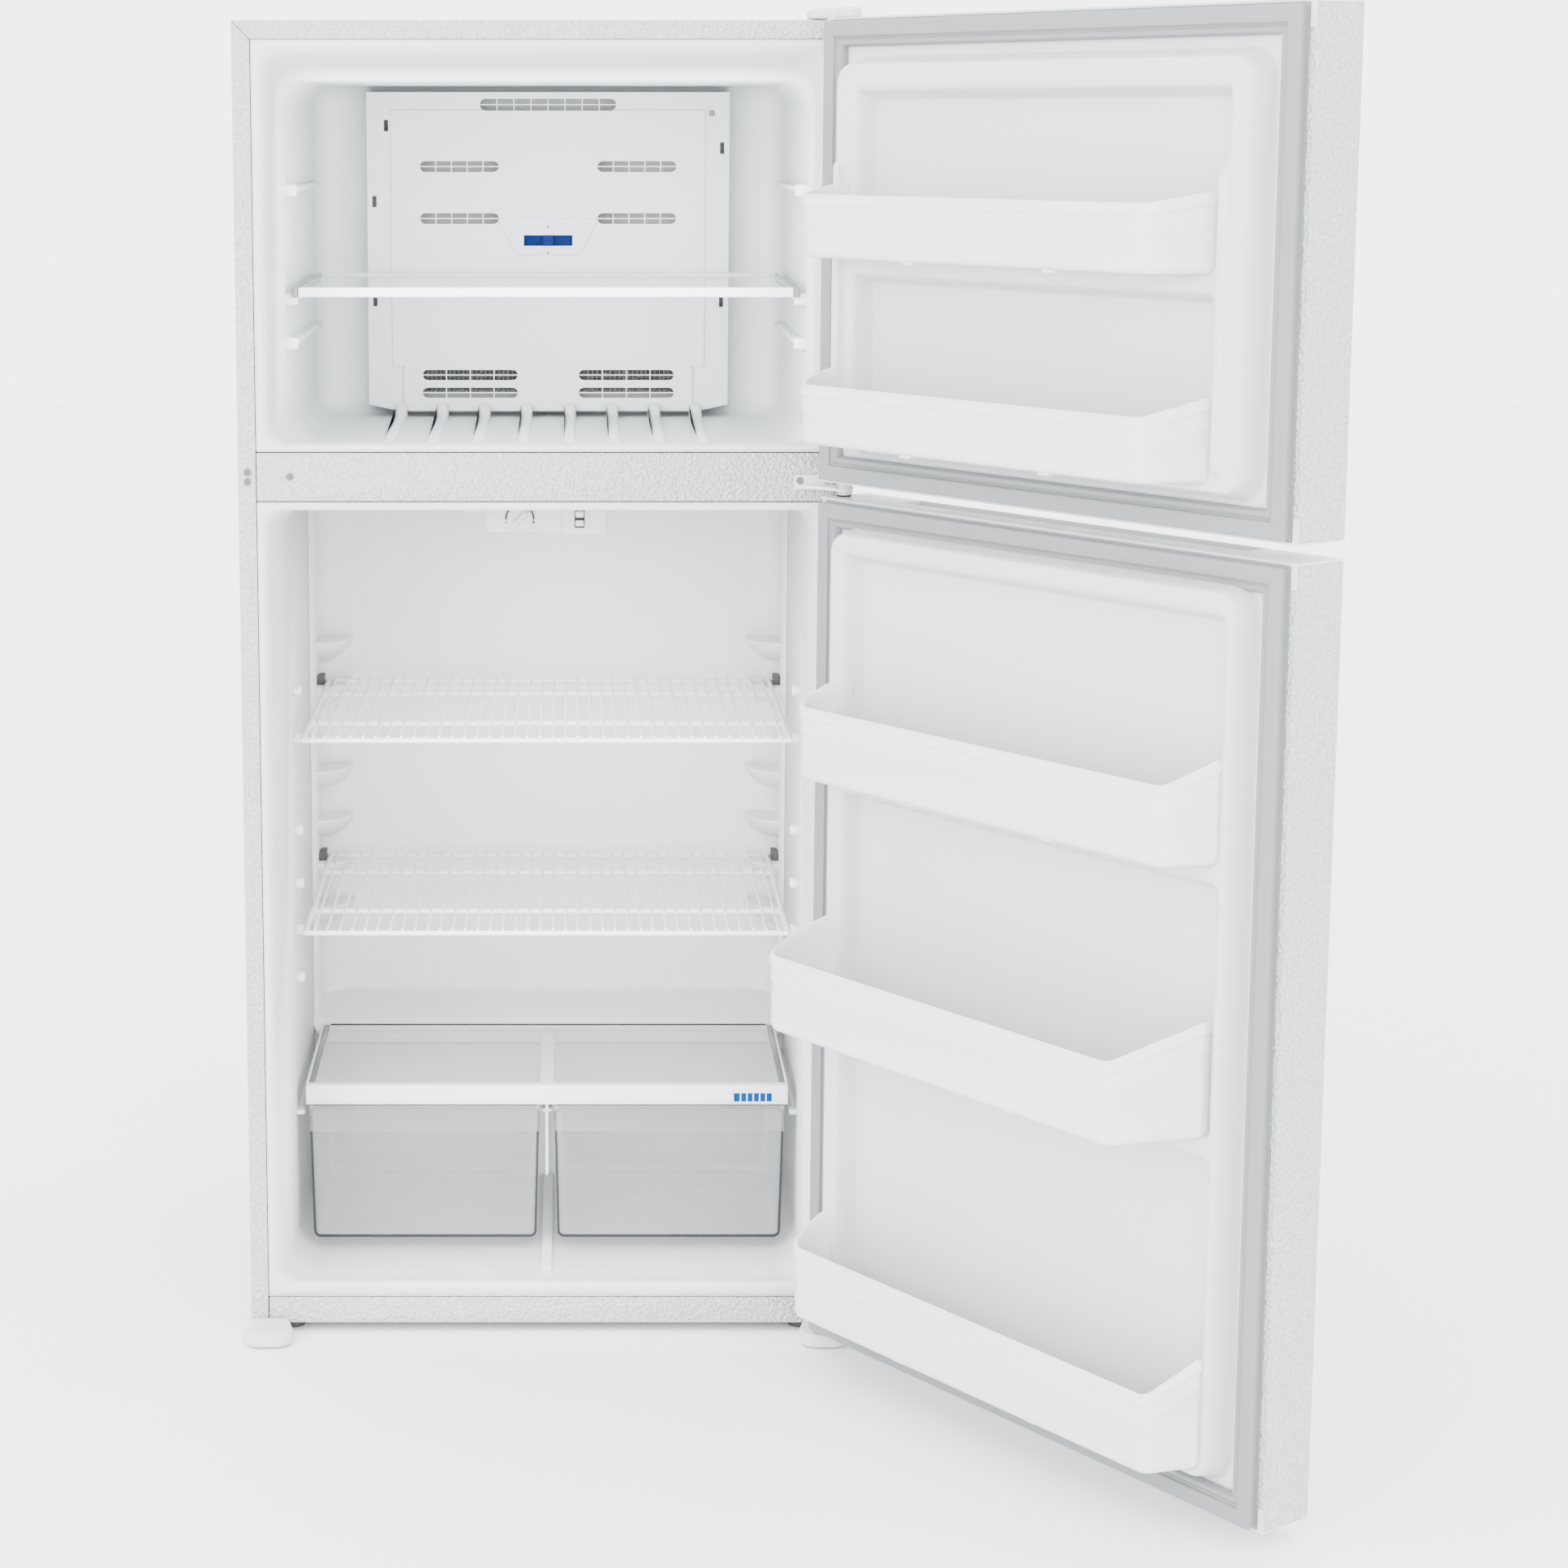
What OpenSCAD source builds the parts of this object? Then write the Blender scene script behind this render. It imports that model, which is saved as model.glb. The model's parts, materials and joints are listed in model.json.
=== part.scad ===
// Top freezer refrigerator, modelled with both doors open.
// +Z is up, +X is to the right and +Y runs back into the cabinet.
// The origin is on the floor, midway across the plane of the cabinet's front flanges.

/* [Cabinet] */
// Width of the cabinet and of each door
cabinet_w = 762; // [750:1:780]
// Depth of the cabinet without its doors
cabinet_d = 690; // [680:1:710]
// Height of the cabinet's top panel above the floor
cabinet_h = 1666; // [1660:1:1680]
// Height of the centre of the rail between freezer and refrigerator
mullion_z = 1109.5; // [1105:0.5:1112]
// Height of that rail
mullion_h = 61; // [56:1:66]
// Thickness of the painted steel
skin = 1; // [0.8:0.1:1]
// Thickness of the moulded liners
liner_t = 2.5; // [2:0.1:2.8]
// Thickness of the insulated side walls
wall_t = 50; // [48:1:52]

/* [Doors] */
// Angle that both doors stand open, where 0 is shut
door_open = 126; // [0:1:136]
// Depth of a door's steel case
door_t = 72; // [68:1:76]
// Distance of the inner face of the doors' case in front of the cabinet
door_gap = 16; // [16:0.5:18]
// Distance of the hinge axis from the cabinet's side
pin_inset = 14; // [13:0.5:15]
// Distance of the hinge axis in front of the cabinet
pin_front = 40; // [38:1:42]
// Radius of the hinge pins
pin_r = 4; // [3:0.5:4.5]
// Height that the liner's rim stands off the doors' inner face
dyke_h = 34; // [28:1:34]

/* [Storage] */
// Height of the top of the upper wire shelf
shelf_high_z = 757; // [720:1:780]
// Height of the top of the lower wire shelf
shelf_low_z = 500; // [470:1:530]
// Number of wires along each wire shelf
wire_count = 38; // [20:1:44]
// Height of the bottom of the crisper drawers
crisper_z = 75; // [70:1:90]
// Radius of the opening for the mains lead
gland_bore_r = 4.3; // [3.5:0.1:5]

/* [Hidden] */
$fn = 48;

// Gaps that keep neighbouring pieces apart
fit = 0.3;
run = 0.05;

// Cabinet shell
half = cabinet_w / 2;
base_z = 12;
pan_t = 1.2;
flange_w = 22.5;
rail_lip = 12;
opening = half - flange_w - 0.2;
freezer_open_z = cabinet_h - 23.4;
bottom_rail_z = 47;
mullion_lo = mullion_z - mullion_h / 2;
mullion_hi = mullion_z + mullion_h / 2;

// Liners: inner half width, and heights and depths of the two compartments
bay = half - wall_t;
bay_back = cabinet_d - 52.5;
bay_r = 26;
flange_y = 0.2;
flange_t = 2;
freezer_floor = mullion_hi - 8;
freezer_lip = mullion_hi + 11;
freezer_ceiling = cabinet_h - 73;
freezer_throat_top = cabinet_h - 44;
throat_d = 60;
fridge_floor = 60;
fridge_ceiling = mullion_lo - 12;
fridge_back = cabinet_d - 70;
hump_y = 450;
hump_z = 287;
ledge_w = 13;
ledge_h = 5;
freezer_ledges = [cabinet_h - 204, cabinet_h - 341.3, cabinet_h - 398];
drawer_ledge_z = 246;

// Machine compartment behind the drawers
machine_y = hump_y + 30;
machine_z = hump_z - 27;

// Evaporator cover
cover_half = 253;
cover_y = 580;
cover_t = 3;
cover_lo = freezer_floor + 8;
cover_hi = freezer_ceiling - 8;
boss_z = cover_hi - 205;
slider_half = 34;
slider_h = 15;
knob_w = 14;
fan_z = cover_hi - 140;
fan_y = 596;

// Freezer shelf
glass_z = cabinet_h - 336;
glass_t = 4;
shelf_y = 140;
shelf_back = 573;
shelf_half = 323;

// Controls at the refrigerator's ceiling
housing_half = 79;
housing_z = fridge_ceiling - 48;
housing_y = 150;
housing_d = 250;
housing_t = 2;
dial_x = -34;
dial_z = housing_z + 21;
dial_r = 17;
dial_shaft_r = 4;
switch_x = 43;
switch_w = 11;
switch_h = 20;

// Wire shelves
rack_half = 316;
rack_y = 140;
rack_back = 595;
rod_r = 3.5;
wire_r = 1.6;
rack_bars = [260, 485];

// Crispers and their cover
cover_top = hump_z;
cover_front = 140;
cover_back = hump_y - 2;
lid_half = 319;
lid_bar_h = 27;
lid_t = 3.5;
drawer_top = cover_top - lid_bar_h - 1;
drawer_side = 316;
drawer_gap = 8;
drawer_front = 141;
drawer_back = 441;
drawer_t = 2.5;
window_x = 267.5;
window_w = 61;
window_z = 270.5;
window_h = 11;

// Doors, in the closed position
pin_x = half - pin_inset;
pin_y = -pin_front;
door_back = -door_gap;
door_face = -door_gap - door_t;
freezer_door = [mullion_z - 0.5, cabinet_h + 1];
fridge_door = [22, mullion_z - 19.5];
cap_h = 22;
cap_plate = 2.5;
edge_lip = 12;
gasket_out = half - 9;
gasket_in = gasket_out - 31;
gasket_margin = 4;
gasket_free = 1.3;
dyke_half = bay - 6;
dyke_y = door_back + dyke_h;
freezer_dyke = [mullion_z + 48, cabinet_h - 54];
fridge_dyke = [68, mullion_z - 54.5];
scoop_half = 275;
scoop_d = 34;
scoop_h = 11;

// Door bins: bottom, top of the front wall, top of the sides
freezer_bin_z = [[cabinet_h - 279, cabinet_h - 205, cabinet_h - 193],
                 [mullion_z + 58.5, mullion_z + 129.5, mullion_z + 148.5]];
fridge_bin_z = [[760, 850, 875], [455, 550, 586], [80, 172, 208]];
bin_back = 28;
bin_side_d = 60;
bin_t = 2.5;
bin_floor = 3;
bin_r = 14;
// Plans of the bins, as distance from the hinge axis along the door and in from its axis
freezer_bin = [[74, bin_back], [650, bin_back], [650, bin_side_d], [625, 135], [74, 135]];
shallow_bin = [[68, bin_back], [680, bin_back], [680, bin_side_d], [658, 120], [57, 120]];
deep_bin = [[68, bin_back], [672, bin_back], [672, bin_side_d], [632, 165], [60, 165]];

// Underside
foot_x = half - 51;
foot_y = 30;
foot_r = 16;
foot_screw_r = 6;
roller_x = half - 25;
roller_y = cabinet_d - 60;
roller_r = 15;
roller_w = 16;
axle_r = 3;
screw_head_r = 4.5;
screw_head_t = 1.1;

// Machinery
comp_x = 200;
comp_y = 585;
comp_r = 78;
comp_z = 40;
shroud_x = -10;
blower_y = 585;
blower_z = 130;
blower_r = 72;
coil_x = [-320, -70];

// Unit normal to the left of the way from a to b
function normal(a, b) = let (d = b - a) [-d[1], d[0]] / norm(d);

// Convex outline, listed anticlockwise, moved in by d
function inset(p, d) = let (n = len(p)) [
    for (i = [0:n - 1])
        let (u = normal(p[(i + n - 1) % n], p[i]), v = normal(p[i], p[(i + 1) % n]))
            p[i] + (u + v) * d / (1 + u * v)
];

// The same outline with every corner rounded to radius r
function rounded(p, r, steps = 5) = let (n = len(p)) [
    for (i = [0:n - 1])
        let (
            u = normal(p[(i + n - 1) % n], p[i]),
            v = normal(p[i], p[(i + 1) % n]),
            centre = p[i] + (u + v) * r / (1 + u * v),
            start = atan2(-u[1], -u[0]),
            turn = acos(max(-1, min(1, u * v)))
        )
            for (k = [0:steps]) centre + r * [cos(start + turn * k / steps), sin(start + turn * k / steps)]
];

// Rounded rectangle between two corners
module plate(low, high, r) {
    size = high - low;
    translate(low + [r, 0]) square([size[0] - 2 * r, size[1]]);
    translate(low + [0, r]) square([size[0], size[1] - 2 * r]);
    for (x = [low[0] + r, high[0] - r], y = [low[1] + r, high[1] - r]) translate([x, y]) circle(r);
}

// Box between two corners
module box(low, high) translate(low) cube(high - low);

// Box on the left (s = -1) or right (s = 1), from x0 to x1 off the middle and between two points in Y and Z
module side_box(s, x0, x1, low, high)
    box([min(s * x0, s * x1), low[0], low[1]], [max(s * x0, s * x1), high[0], high[1]]);

// Front view outline drawn in X and Z, made solid from y0 back to y1
module along_y(y0, y1) translate([0, y1, 0]) rotate([90, 0, 0]) linear_extrude(y1 - y0) children();

// Rod from one point to another along one axis
module rod_x(x0, x1, y, z, r) translate([x0, y, z]) rotate([0, 90, 0]) cylinder(h = x1 - x0, r = r);
module rod_y(x, y0, y1, z, r) translate([x, y0, z]) rotate([-90, 0, 0]) cylinder(h = y1 - y0, r = r);

// Puts a piece drawn on a closed door where the open door holds it
module on_door() translate([pin_x, pin_y, 0]) rotate([0, 0, door_open]) translate([-pin_x, -pin_y, 0])
    children();

// ---- Cabinet ----

module outer_wrapper() color("white") {
    for (s = [-1, 1]) {
        side_box(s, half - skin, half, [0, base_z], [cabinet_d, cabinet_h]);
        side_box(s, half - flange_w, half, [0, base_z], [skin, cabinet_h]);
    }
    box([-half, 0, cabinet_h - skin], [half, cabinet_d, cabinet_h]);
    box([-half, 0, freezer_open_z], [half, skin, cabinet_h]);
}

module back_panel() color("silver")
    box([-half + skin + fit, cabinet_d - skin, machine_z],
        [half - skin - fit, cabinet_d, cabinet_h - skin - fit]);

module base_pan() color("silver") difference() {
    box([-half + skin + fit, skin + fit, base_z], [half - skin - fit, cabinet_d - fit, base_z + pan_t]);
    for (s = [-1, 1]) {
        box([s * roller_x - 10, roller_y - 17, 0], [s * roller_x + 10, roller_y + 17, 40]);
        box([s * roller_x - 14, roller_y - axle_r - 1, 0], [s * roller_x + 14, roller_y + axle_r + 1, 40]);
        translate([s * foot_x, foot_y, 0]) cylinder(h = 40, r = foot_screw_r + run);
    }
}

module cross_rail(z0, z1) {
    box([-opening, 0, z0], [opening, skin, z1]);
    box([-opening, 0, z1 - skin], [opening, rail_lip, z1]);
}

module bottom_rail() color("white") cross_rail(base_z, bottom_rail_z - 0.2);

module mullion_rail() color("white") {
    cross_rail(mullion_lo, mullion_hi);
    box([-opening, 0, mullion_lo], [opening, rail_lip, mullion_lo + skin]);
}

// Room inside each compartment, grown by g on every side except the front
module freezer_room(g) {
    along_y(-1, throat_d + g)
        plate([-bay - g, freezer_lip - g], [bay + g, freezer_throat_top + g], bay_r + g);
    along_y(30 - g, bay_back + g)
        plate([-bay - g, freezer_floor - g], [bay + g, freezer_ceiling + g], bay_r + g);
}

module fridge_room(g) difference() {
    along_y(-1, fridge_back + g)
        plate([-bay - g, fridge_floor - g], [bay + g, fridge_ceiling + g], bay_r + g);
    box([-half, hump_y + g, 0], [half, cabinet_d, hump_z - g]);
}

// Insulation between the shell and the liners, with room for the rails' lips
module cabinet_foam() color("khaki") difference() {
    box([-half + skin + fit, flange_y + flange_t + fit, base_z + 2],
        [half - skin - fit, cabinet_d - skin - fit, cabinet_h - skin - fit]);
    freezer_room(liner_t + fit);
    fridge_room(liner_t + fit);
    box([-half, machine_y, 0], [half, cabinet_d, machine_z]);
    box([-half, 0, mullion_lo - fit], [half, rail_lip + fit, mullion_hi + fit]);
    box([-half, 0, 0], [half, rail_lip + fit, bottom_rail_z]);
}

module freezer_liner() color("white") {
    difference() {
        union() {
            box([-opening, flange_y, mullion_hi + fit],
                [opening, flange_y + flange_t, freezer_open_z - fit]);
            intersection() {
                freezer_room(liner_t);
                box([-half, flange_y, 0], [half, cabinet_d, cabinet_h]);
            }
        }
        freezer_room(0);
    }
    for (z = freezer_ledges, s = [-1, 1]) side_box(s, bay - ledge_w, bay, [150, z - ledge_h], [560, z]);
}

module fridge_liner() color("white") {
    difference() {
        union() {
            box([-opening, flange_y, bottom_rail_z], [opening, flange_y + flange_t, mullion_lo - fit]);
            intersection() {
                fridge_room(liner_t);
                box([-half, flange_y, 0], [half, cabinet_d, cabinet_h]);
            }
        }
        fridge_room(0);
    }
    for (s = [-1, 1]) {
        for (z = [shelf_high_z, shelf_low_z]) {
            side_box(s, bay - 18, bay, [545, z - 16], [fridge_back, z - 10]);
            side_box(s, bay - 18, bay, [150, z - 16], [190, z - 10]);
        }
        side_box(s, bay - 10, bay, [150, drawer_ledge_z], [440, drawer_ledge_z + 5]);
    }
}

// ---- Freezer compartment ----

// Slot with round ends, cut into cells by thin bars
module vent(x0, x1, z0, z1, cells, rows) difference() {
    plate([x0, z0], [x1, z1], (z1 - z0) / 2 - 0.01);
    for (k = [1:cells - 1]) translate([x0 + (x1 - x0) * k / cells - 0.7, z0 - 1]) square([1.4, z1 - z0 + 2]);
    for (k = [1:rows - 1]) translate([x0 - 1, z0 + (z1 - z0) * k / rows - 0.7]) square([x1 - x0 + 2, 1.4]);
}

module cover_vents() {
    vent(-95, 95, cover_hi - 25.5, cover_hi - 9, 8, 2);
    for (s = [-1, 1]) {
        for (z = [cover_hi - 95, cover_hi - 167]) mirror([s < 0 ? 1 : 0, 0])
            vent(69, 179, z - 15, z, 5, 2);
        for (z = [cover_hi - 386, cover_hi - 411]) mirror([s < 0 ? 1 : 0, 0])
            vent(43, 177, z - 14.5, z, 4, 2);
    }
}

module evaporator_cover() color("white") difference() {
    union() {
        along_y(cover_y, cover_y + cover_t) polygon([
            [-cover_half + 45, cover_lo], [cover_half - 45, cover_lo], [cover_half, cover_lo + 10],
            [cover_half, cover_hi], [-cover_half, cover_hi], [-cover_half, cover_lo + 10]
        ]);
        along_y(cover_y - 3, cover_y + 1) plate([-219, cover_lo + 64], [219, cover_hi - 25], 4);
        along_y(cover_y - 5, cover_y + 1) plate([-203, cover_lo + 2], [203, cover_lo + 64], 4);
        along_y(cover_y - 7, cover_y + 1)
            polygon([[-44, boss_z - 19], [44, boss_z - 19], [69, boss_z + 30], [-69, boss_z + 30]]);
        for (s = [-1, 1])
            side_box(s, cover_half - 2, cover_half, [cover_y, cover_lo + 10], [bay_back - fit, cover_hi]);
        box([-cover_half, cover_y, cover_hi - 2], [cover_half, bay_back - fit, cover_hi]);
    }
    along_y(cover_y - 9, cover_y + cover_t + 1) cover_vents();
    box([-slider_half, cover_y - 9, boss_z - slider_h / 2],
        [slider_half, cover_y + 9, boss_z + slider_h / 2]);
    for (p = [[-226, -46], [-243, -151], [-243, -289], [243, -77], [243, -290]])
        box([p[0] - 3, cover_y - 9, cover_hi + p[1] - 8], [p[0] + 3, cover_y + 9, cover_hi + p[1] + 8]);
}

module freezer_slider() color("royalblue") {
    box([-62, cover_y + cover_t + 0.7, boss_z - 10], [62, cover_y + cover_t + 2.7, boss_z + 10]);
    box([-knob_w / 2, cover_y - 10, boss_z - 6.5], [knob_w / 2, cover_y + cover_t + 1, boss_z + 6.5]);
}

// Half turn of tube, on the left (s = -1) or right (s = 1) of the origin
module half_bend(bend_r, tube_r, s) difference() {
    rotate_extrude() translate([bend_r, 0]) circle(tube_r);
    translate([s > 0 ? -2 * bend_r : 0, -2 * bend_r, -tube_r - 1])
        cube([2 * bend_r, 4 * bend_r, 2 * tube_r + 2]);
}

module evaporator_coil() color("silver") {
    y = bay_back - 28;
    for (k = [0:5]) rod_x(-205, 205, y, cover_lo + 40 + 30 * k, 4);
    for (k = [0:4], s = k % 2 ? -1 : 1)
        translate([s * 205, y, cover_lo + 55 + 30 * k]) rotate([90, 0, 0]) half_bend(15, 4, s);
    for (k = [0:9]) box([-190 + 42 * k, y - 16, cover_lo + 25], [-188.8 + 42 * k, y + 16, cover_lo + 205]);
}

module defrost_heater() color("dimgray") {
    rod_x(-215, 215, bay_back - 28, cover_lo + 10, 5);
    for (s = [-1, 1]) rod_x(s > 0 ? 215 : -223, s > 0 ? 223 : -215, bay_back - 28, cover_lo + 10, 8);
}

module fan_bracket() color("black") {
    rod_y(0, fan_y + 18, fan_y + 36, fan_z, 26);
    rod_y(0, fan_y + 2, fan_y + 20, fan_z, 2.5);
    for (s = [-1, 1]) {
        side_box(s, 20, 66, [fan_y + 20, fan_z - 5], [fan_y + 23, fan_z + 5]);
        side_box(s, 60, 66, [cover_y + cover_t + fit, fan_z - 5], [fan_y + 23, fan_z + 5]);
    }
}

// Axial fan along +Y: hub with a bore and swept blades
module rotor(r, hub_r, bore_r, h, blades) difference() {
    union() {
        cylinder(h = h, r = hub_r);
        for (k = [0:blades - 1]) rotate([0, 0, 360 * k / blades])
            translate([hub_r - 2, 0, h / 2]) rotate([35, 0, 0]) translate([0, -r * 0.22, -0.8])
                cube([r - hub_r, r * 0.44, 1.6]);
    }
    translate([0, 0, -1]) cylinder(h = h + 2, r = bore_r);
}

module evaporator_fan() color("black") translate([0, fan_y, fan_z]) rotate([-90, 0, 0])
    rotor(50, 13, 2.5 + run, 15, 4);

module freezer_shelf_glass() color("lightcyan")
    box([-shelf_half + 7, shelf_y + 6, glass_z], [shelf_half - 7, shelf_back - 4, glass_z + glass_t]);

module freezer_shelf_trim() color("white") difference() {
    union() {
        box([-shelf_half, shelf_y - 2, glass_z - 5], [shelf_half, shelf_y + 8, glass_z + 7]);
        box([-shelf_half, shelf_back - 6, glass_z - 2], [shelf_half, shelf_back, glass_z + 6]);
        for (s = [-1, 1])
            side_box(s, shelf_half - 9, shelf_half, [shelf_y, glass_z - 3], [shelf_back, glass_z + 6]);
    }
    box([-shelf_half + 6.8, shelf_y + 5.8, glass_z - 0.2],
        [shelf_half - 6.8, shelf_back - 3.8, glass_z + glass_t + 0.2]);
}

// ---- Refrigerator compartment ----

module control_housing() color("white") difference() {
    box([-housing_half, housing_y, housing_z], [housing_half, housing_y + housing_d, fridge_ceiling - fit]);
    box([-housing_half + housing_t, housing_y + housing_t, housing_z + housing_t],
        [housing_half - housing_t, housing_y + housing_d + 1, fridge_ceiling]);
    rod_y(dial_x, housing_y - 5, housing_y + 5, dial_z, dial_shaft_r + run);
    box([switch_x - switch_w / 2 - 0.7, housing_y - 5, dial_z - switch_h / 2 - 2],
        [switch_x + switch_w / 2 + 0.7, housing_y + 5, dial_z + switch_h / 2 + 2]);
    for (k = [0:5]) box([-56 + 20 * k, housing_y + 90, housing_z - 1],
        [-44 + 20 * k, housing_y + 220, housing_z + 5]);
}

module temperature_dial() color("white") {
    rod_y(dial_x, housing_y - 10, housing_y - 0.5, dial_z, dial_r);
    rod_y(dial_x, housing_y - 1, housing_y + 14, dial_z, dial_shaft_r);
    translate([dial_x, 0, dial_z]) rotate([0, -45, 0])
        box([-dial_r + 1, housing_y - 15, -3], [dial_r - 1, housing_y - 9, 3]);
}

module light_switch() color("white") {
    rod_x(switch_x - 9, switch_x + 9, housing_y + 4, dial_z, 1.4);
    box([switch_x - switch_w / 2, housing_y - 7, dial_z - switch_h / 2],
        [switch_x + switch_w / 2, housing_y + 4, dial_z + switch_h / 2]);
}

module light_bulb() color("lightyellow") translate([0, housing_y + 120, dial_z + 2]) rotate([-90, 0, 0])
    rotate_extrude() union() {
        intersection() {
            circle(19);
            translate([0, -20]) square([20, 40]);
        }
        square([11, 42]);
    }

// White coated rack: a frame, cross bars and a row of wires on top
module wire_rack(z) {
    rod_z = z - 2 * wire_r - rod_r + 0.6;
    for (y = concat([rack_y, rack_back], rack_bars)) rod_x(-rack_half, rack_half, y, rod_z, rod_r);
    for (s = [-1, 1]) rod_y(s * rack_half, rack_y, rack_back, rod_z, rod_r);
    for (s = [-1, 1], y = [rack_y, rack_back]) translate([s * rack_half, y, rod_z]) sphere(rod_r);
    pitch = 2 * (rack_half - 12) / (wire_count - 1);
    for (k = [0:wire_count - 1]) translate([-rack_half + 12 + k * pitch, rack_y - 1, z - wire_r])
        rotate([-90, 0, 0]) cylinder(h = rack_back - rack_y + 2, r = wire_r, $fn = 8);
}

module wire_shelf_upper() color("white") wire_rack(shelf_high_z);
module wire_shelf_lower() color("white") wire_rack(shelf_low_z);

module shelf_clips() color("dimgray") for (s = [-1, 1], z = [shelf_high_z, shelf_low_z])
    side_box(s, bay - 10, bay - 1, [565, z - 9.7], [600, z + 5]);

module crisper_cover_frame() color("white") difference() {
    union() {
        difference() {
            box([-lid_half, cover_front, cover_top - lid_bar_h], [lid_half, cover_front + 16, cover_top]);
            box([-lid_half - 1, cover_front + lid_t, cover_top - lid_bar_h - 1],
                [lid_half + 1, cover_front + 17, cover_top - 10]);
        }
        box([-lid_half, cover_back - 12, cover_top - 10], [lid_half, cover_back, cover_top]);
        for (s = [-1, 1])
            side_box(s, lid_half - 12, lid_half, [cover_front + 3, cover_top - 10], [cover_back, cover_top]);
        box([-10, cover_front + 3, cover_top - 10], [10, cover_back, cover_top - 5.7]);
        box([-2, cover_front + 10, 157], [2, cover_back - 10, cover_top - 8]);
        box([-6.5, cover_front + 10, drawer_ledge_z + 2], [6.5, cover_back - 10, drawer_ledge_z + 5]);
    }
    box([-lid_half + 11, cover_front + 15.5, cover_top - 5.7],
        [lid_half - 11, cover_back - 11, cover_top + 1]);
    box([window_x - window_w / 2, cover_front - 1, window_z - window_h / 2],
        [window_x + window_w / 2, cover_front + 1.5, window_z + window_h / 2]);
    box([window_x - window_w / 2 + 1, cover_front - 1, window_z - 2],
        [window_x + window_w / 2 - 1, cover_front + 9, window_z + 2]);
    box([-window_x - 28, cover_front - 1, window_z - 4.5],
        [-window_x + 28, cover_front + 1, window_z + 4.5]);
}

module crisper_cover_glass() color("lightcyan")
    box([-lid_half + 11.2, cover_front + 15.7, cover_top - 5.5],
        [lid_half - 11.2, cover_back - 11.2, cover_top - 1.5]);

module humidity_slider() color("white") {
    x = window_x - window_w / 2 + 6.2;
    box([x - 5.5, cover_front - 5, window_z - 5], [x + 5.5, cover_front + 1.2, window_z + 5]);
    box([x - 3, cover_front, window_z - 1.8], [x + 3, cover_front + lid_t + 1, window_z + 1.8]);
    box([x - 5, cover_front + lid_t + 0.3, window_z - 4], [x + 5, cover_front + lid_t + 2.3, window_z + 4]);
}

// Clear drawer: a rounded tray with rims that slide on the ledges and a pull lip
module crisper(x0, x1) {
    outline = [[x0, drawer_front], [x1, drawer_front], [x1, drawer_back], [x0, drawer_back]];
    difference() {
        translate([0, 0, crisper_z]) linear_extrude(drawer_top - crisper_z) polygon(rounded(outline, 18));
        translate([0, 0, crisper_z + drawer_t]) linear_extrude(drawer_top)
            polygon(rounded(inset(outline, drawer_t), 15.5));
    }
    side = x0 < 0 ? -1 : 1;
    rim_z = drawer_ledge_z + 5 + fit;
    for (rim = [[drawer_side - 1, drawer_side + 9], [drawer_gap - 5, drawer_gap + 1]])
        side_box(side, rim[0], rim[1], [drawer_front + 20, rim_z], [drawer_back - 20, rim_z + 2.5]);
    box([x0 + 18, drawer_front - 9, drawer_top - 3], [x1 - 18, drawer_front + 1, drawer_top]);
    box([x0 + 18, drawer_front - 9, drawer_top - 26], [x1 - 18, drawer_front - 6.5, drawer_top]);
}

module crisper_left() color("lightblue") crisper(-drawer_side, -drawer_gap);
module crisper_right() color("lightblue") crisper(drawer_gap, drawer_side);

// ---- Machine compartment ----

module compressor() color("black") {
    translate([comp_x, comp_y, comp_z]) rotate_extrude() union() {
        translate([0, 8]) square([comp_r, 104]);
        intersection() {
            translate([0, 112]) circle(comp_r);
            translate([0, 112]) square([comp_r, 48]);
        }
    }
    difference() {
        box([comp_x - 100, comp_y - 80, comp_z], [comp_x + 100, comp_y + 80, comp_z + 9]);
        for (x = [-88, 88], y = [-68, 68])
            translate([comp_x + x, comp_y + y, comp_z - 1]) cylinder(h = 12, r = 5);
    }
    translate([comp_x - 60, comp_y, comp_z + 95]) rotate([0, -60, 0]) cylinder(h = 62, r = 4);
}

module compressor_mounts() color("black") for (x = [-88, 88], y = [-68, 68])
    translate([comp_x + x, comp_y + y, base_z + 1.2 + fit]) {
        cylinder(h = comp_z - base_z - 1.2 - 2 * fit, r = 11);
        cylinder(h = comp_z - base_z + 12, r = 4.6);
    }

module condenser_coil() color("black") {
    for (layer = [0:2], k = [0:5])
        rod_x(coil_x[0] + 14, coil_x[1] - 14, machine_y + 25 + 28 * k, 90 + 45 * layer, 3.2);
    for (layer = [0:2], k = [0:4]) {
        s = k % 2 ? -1 : 1;
        end_x = s > 0 ? coil_x[1] - 14 : coil_x[0] + 14;
        translate([end_x, machine_y + 39 + 28 * k, 90 + 45 * layer]) half_bend(14, 3.2, s);
    }
    for (k = [0:7]) box([coil_x[0] + 30 + 27 * k, machine_y + 15, 80],
        [coil_x[0] + 31.2 + 27 * k, machine_y + 175, 190]);
}

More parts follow.
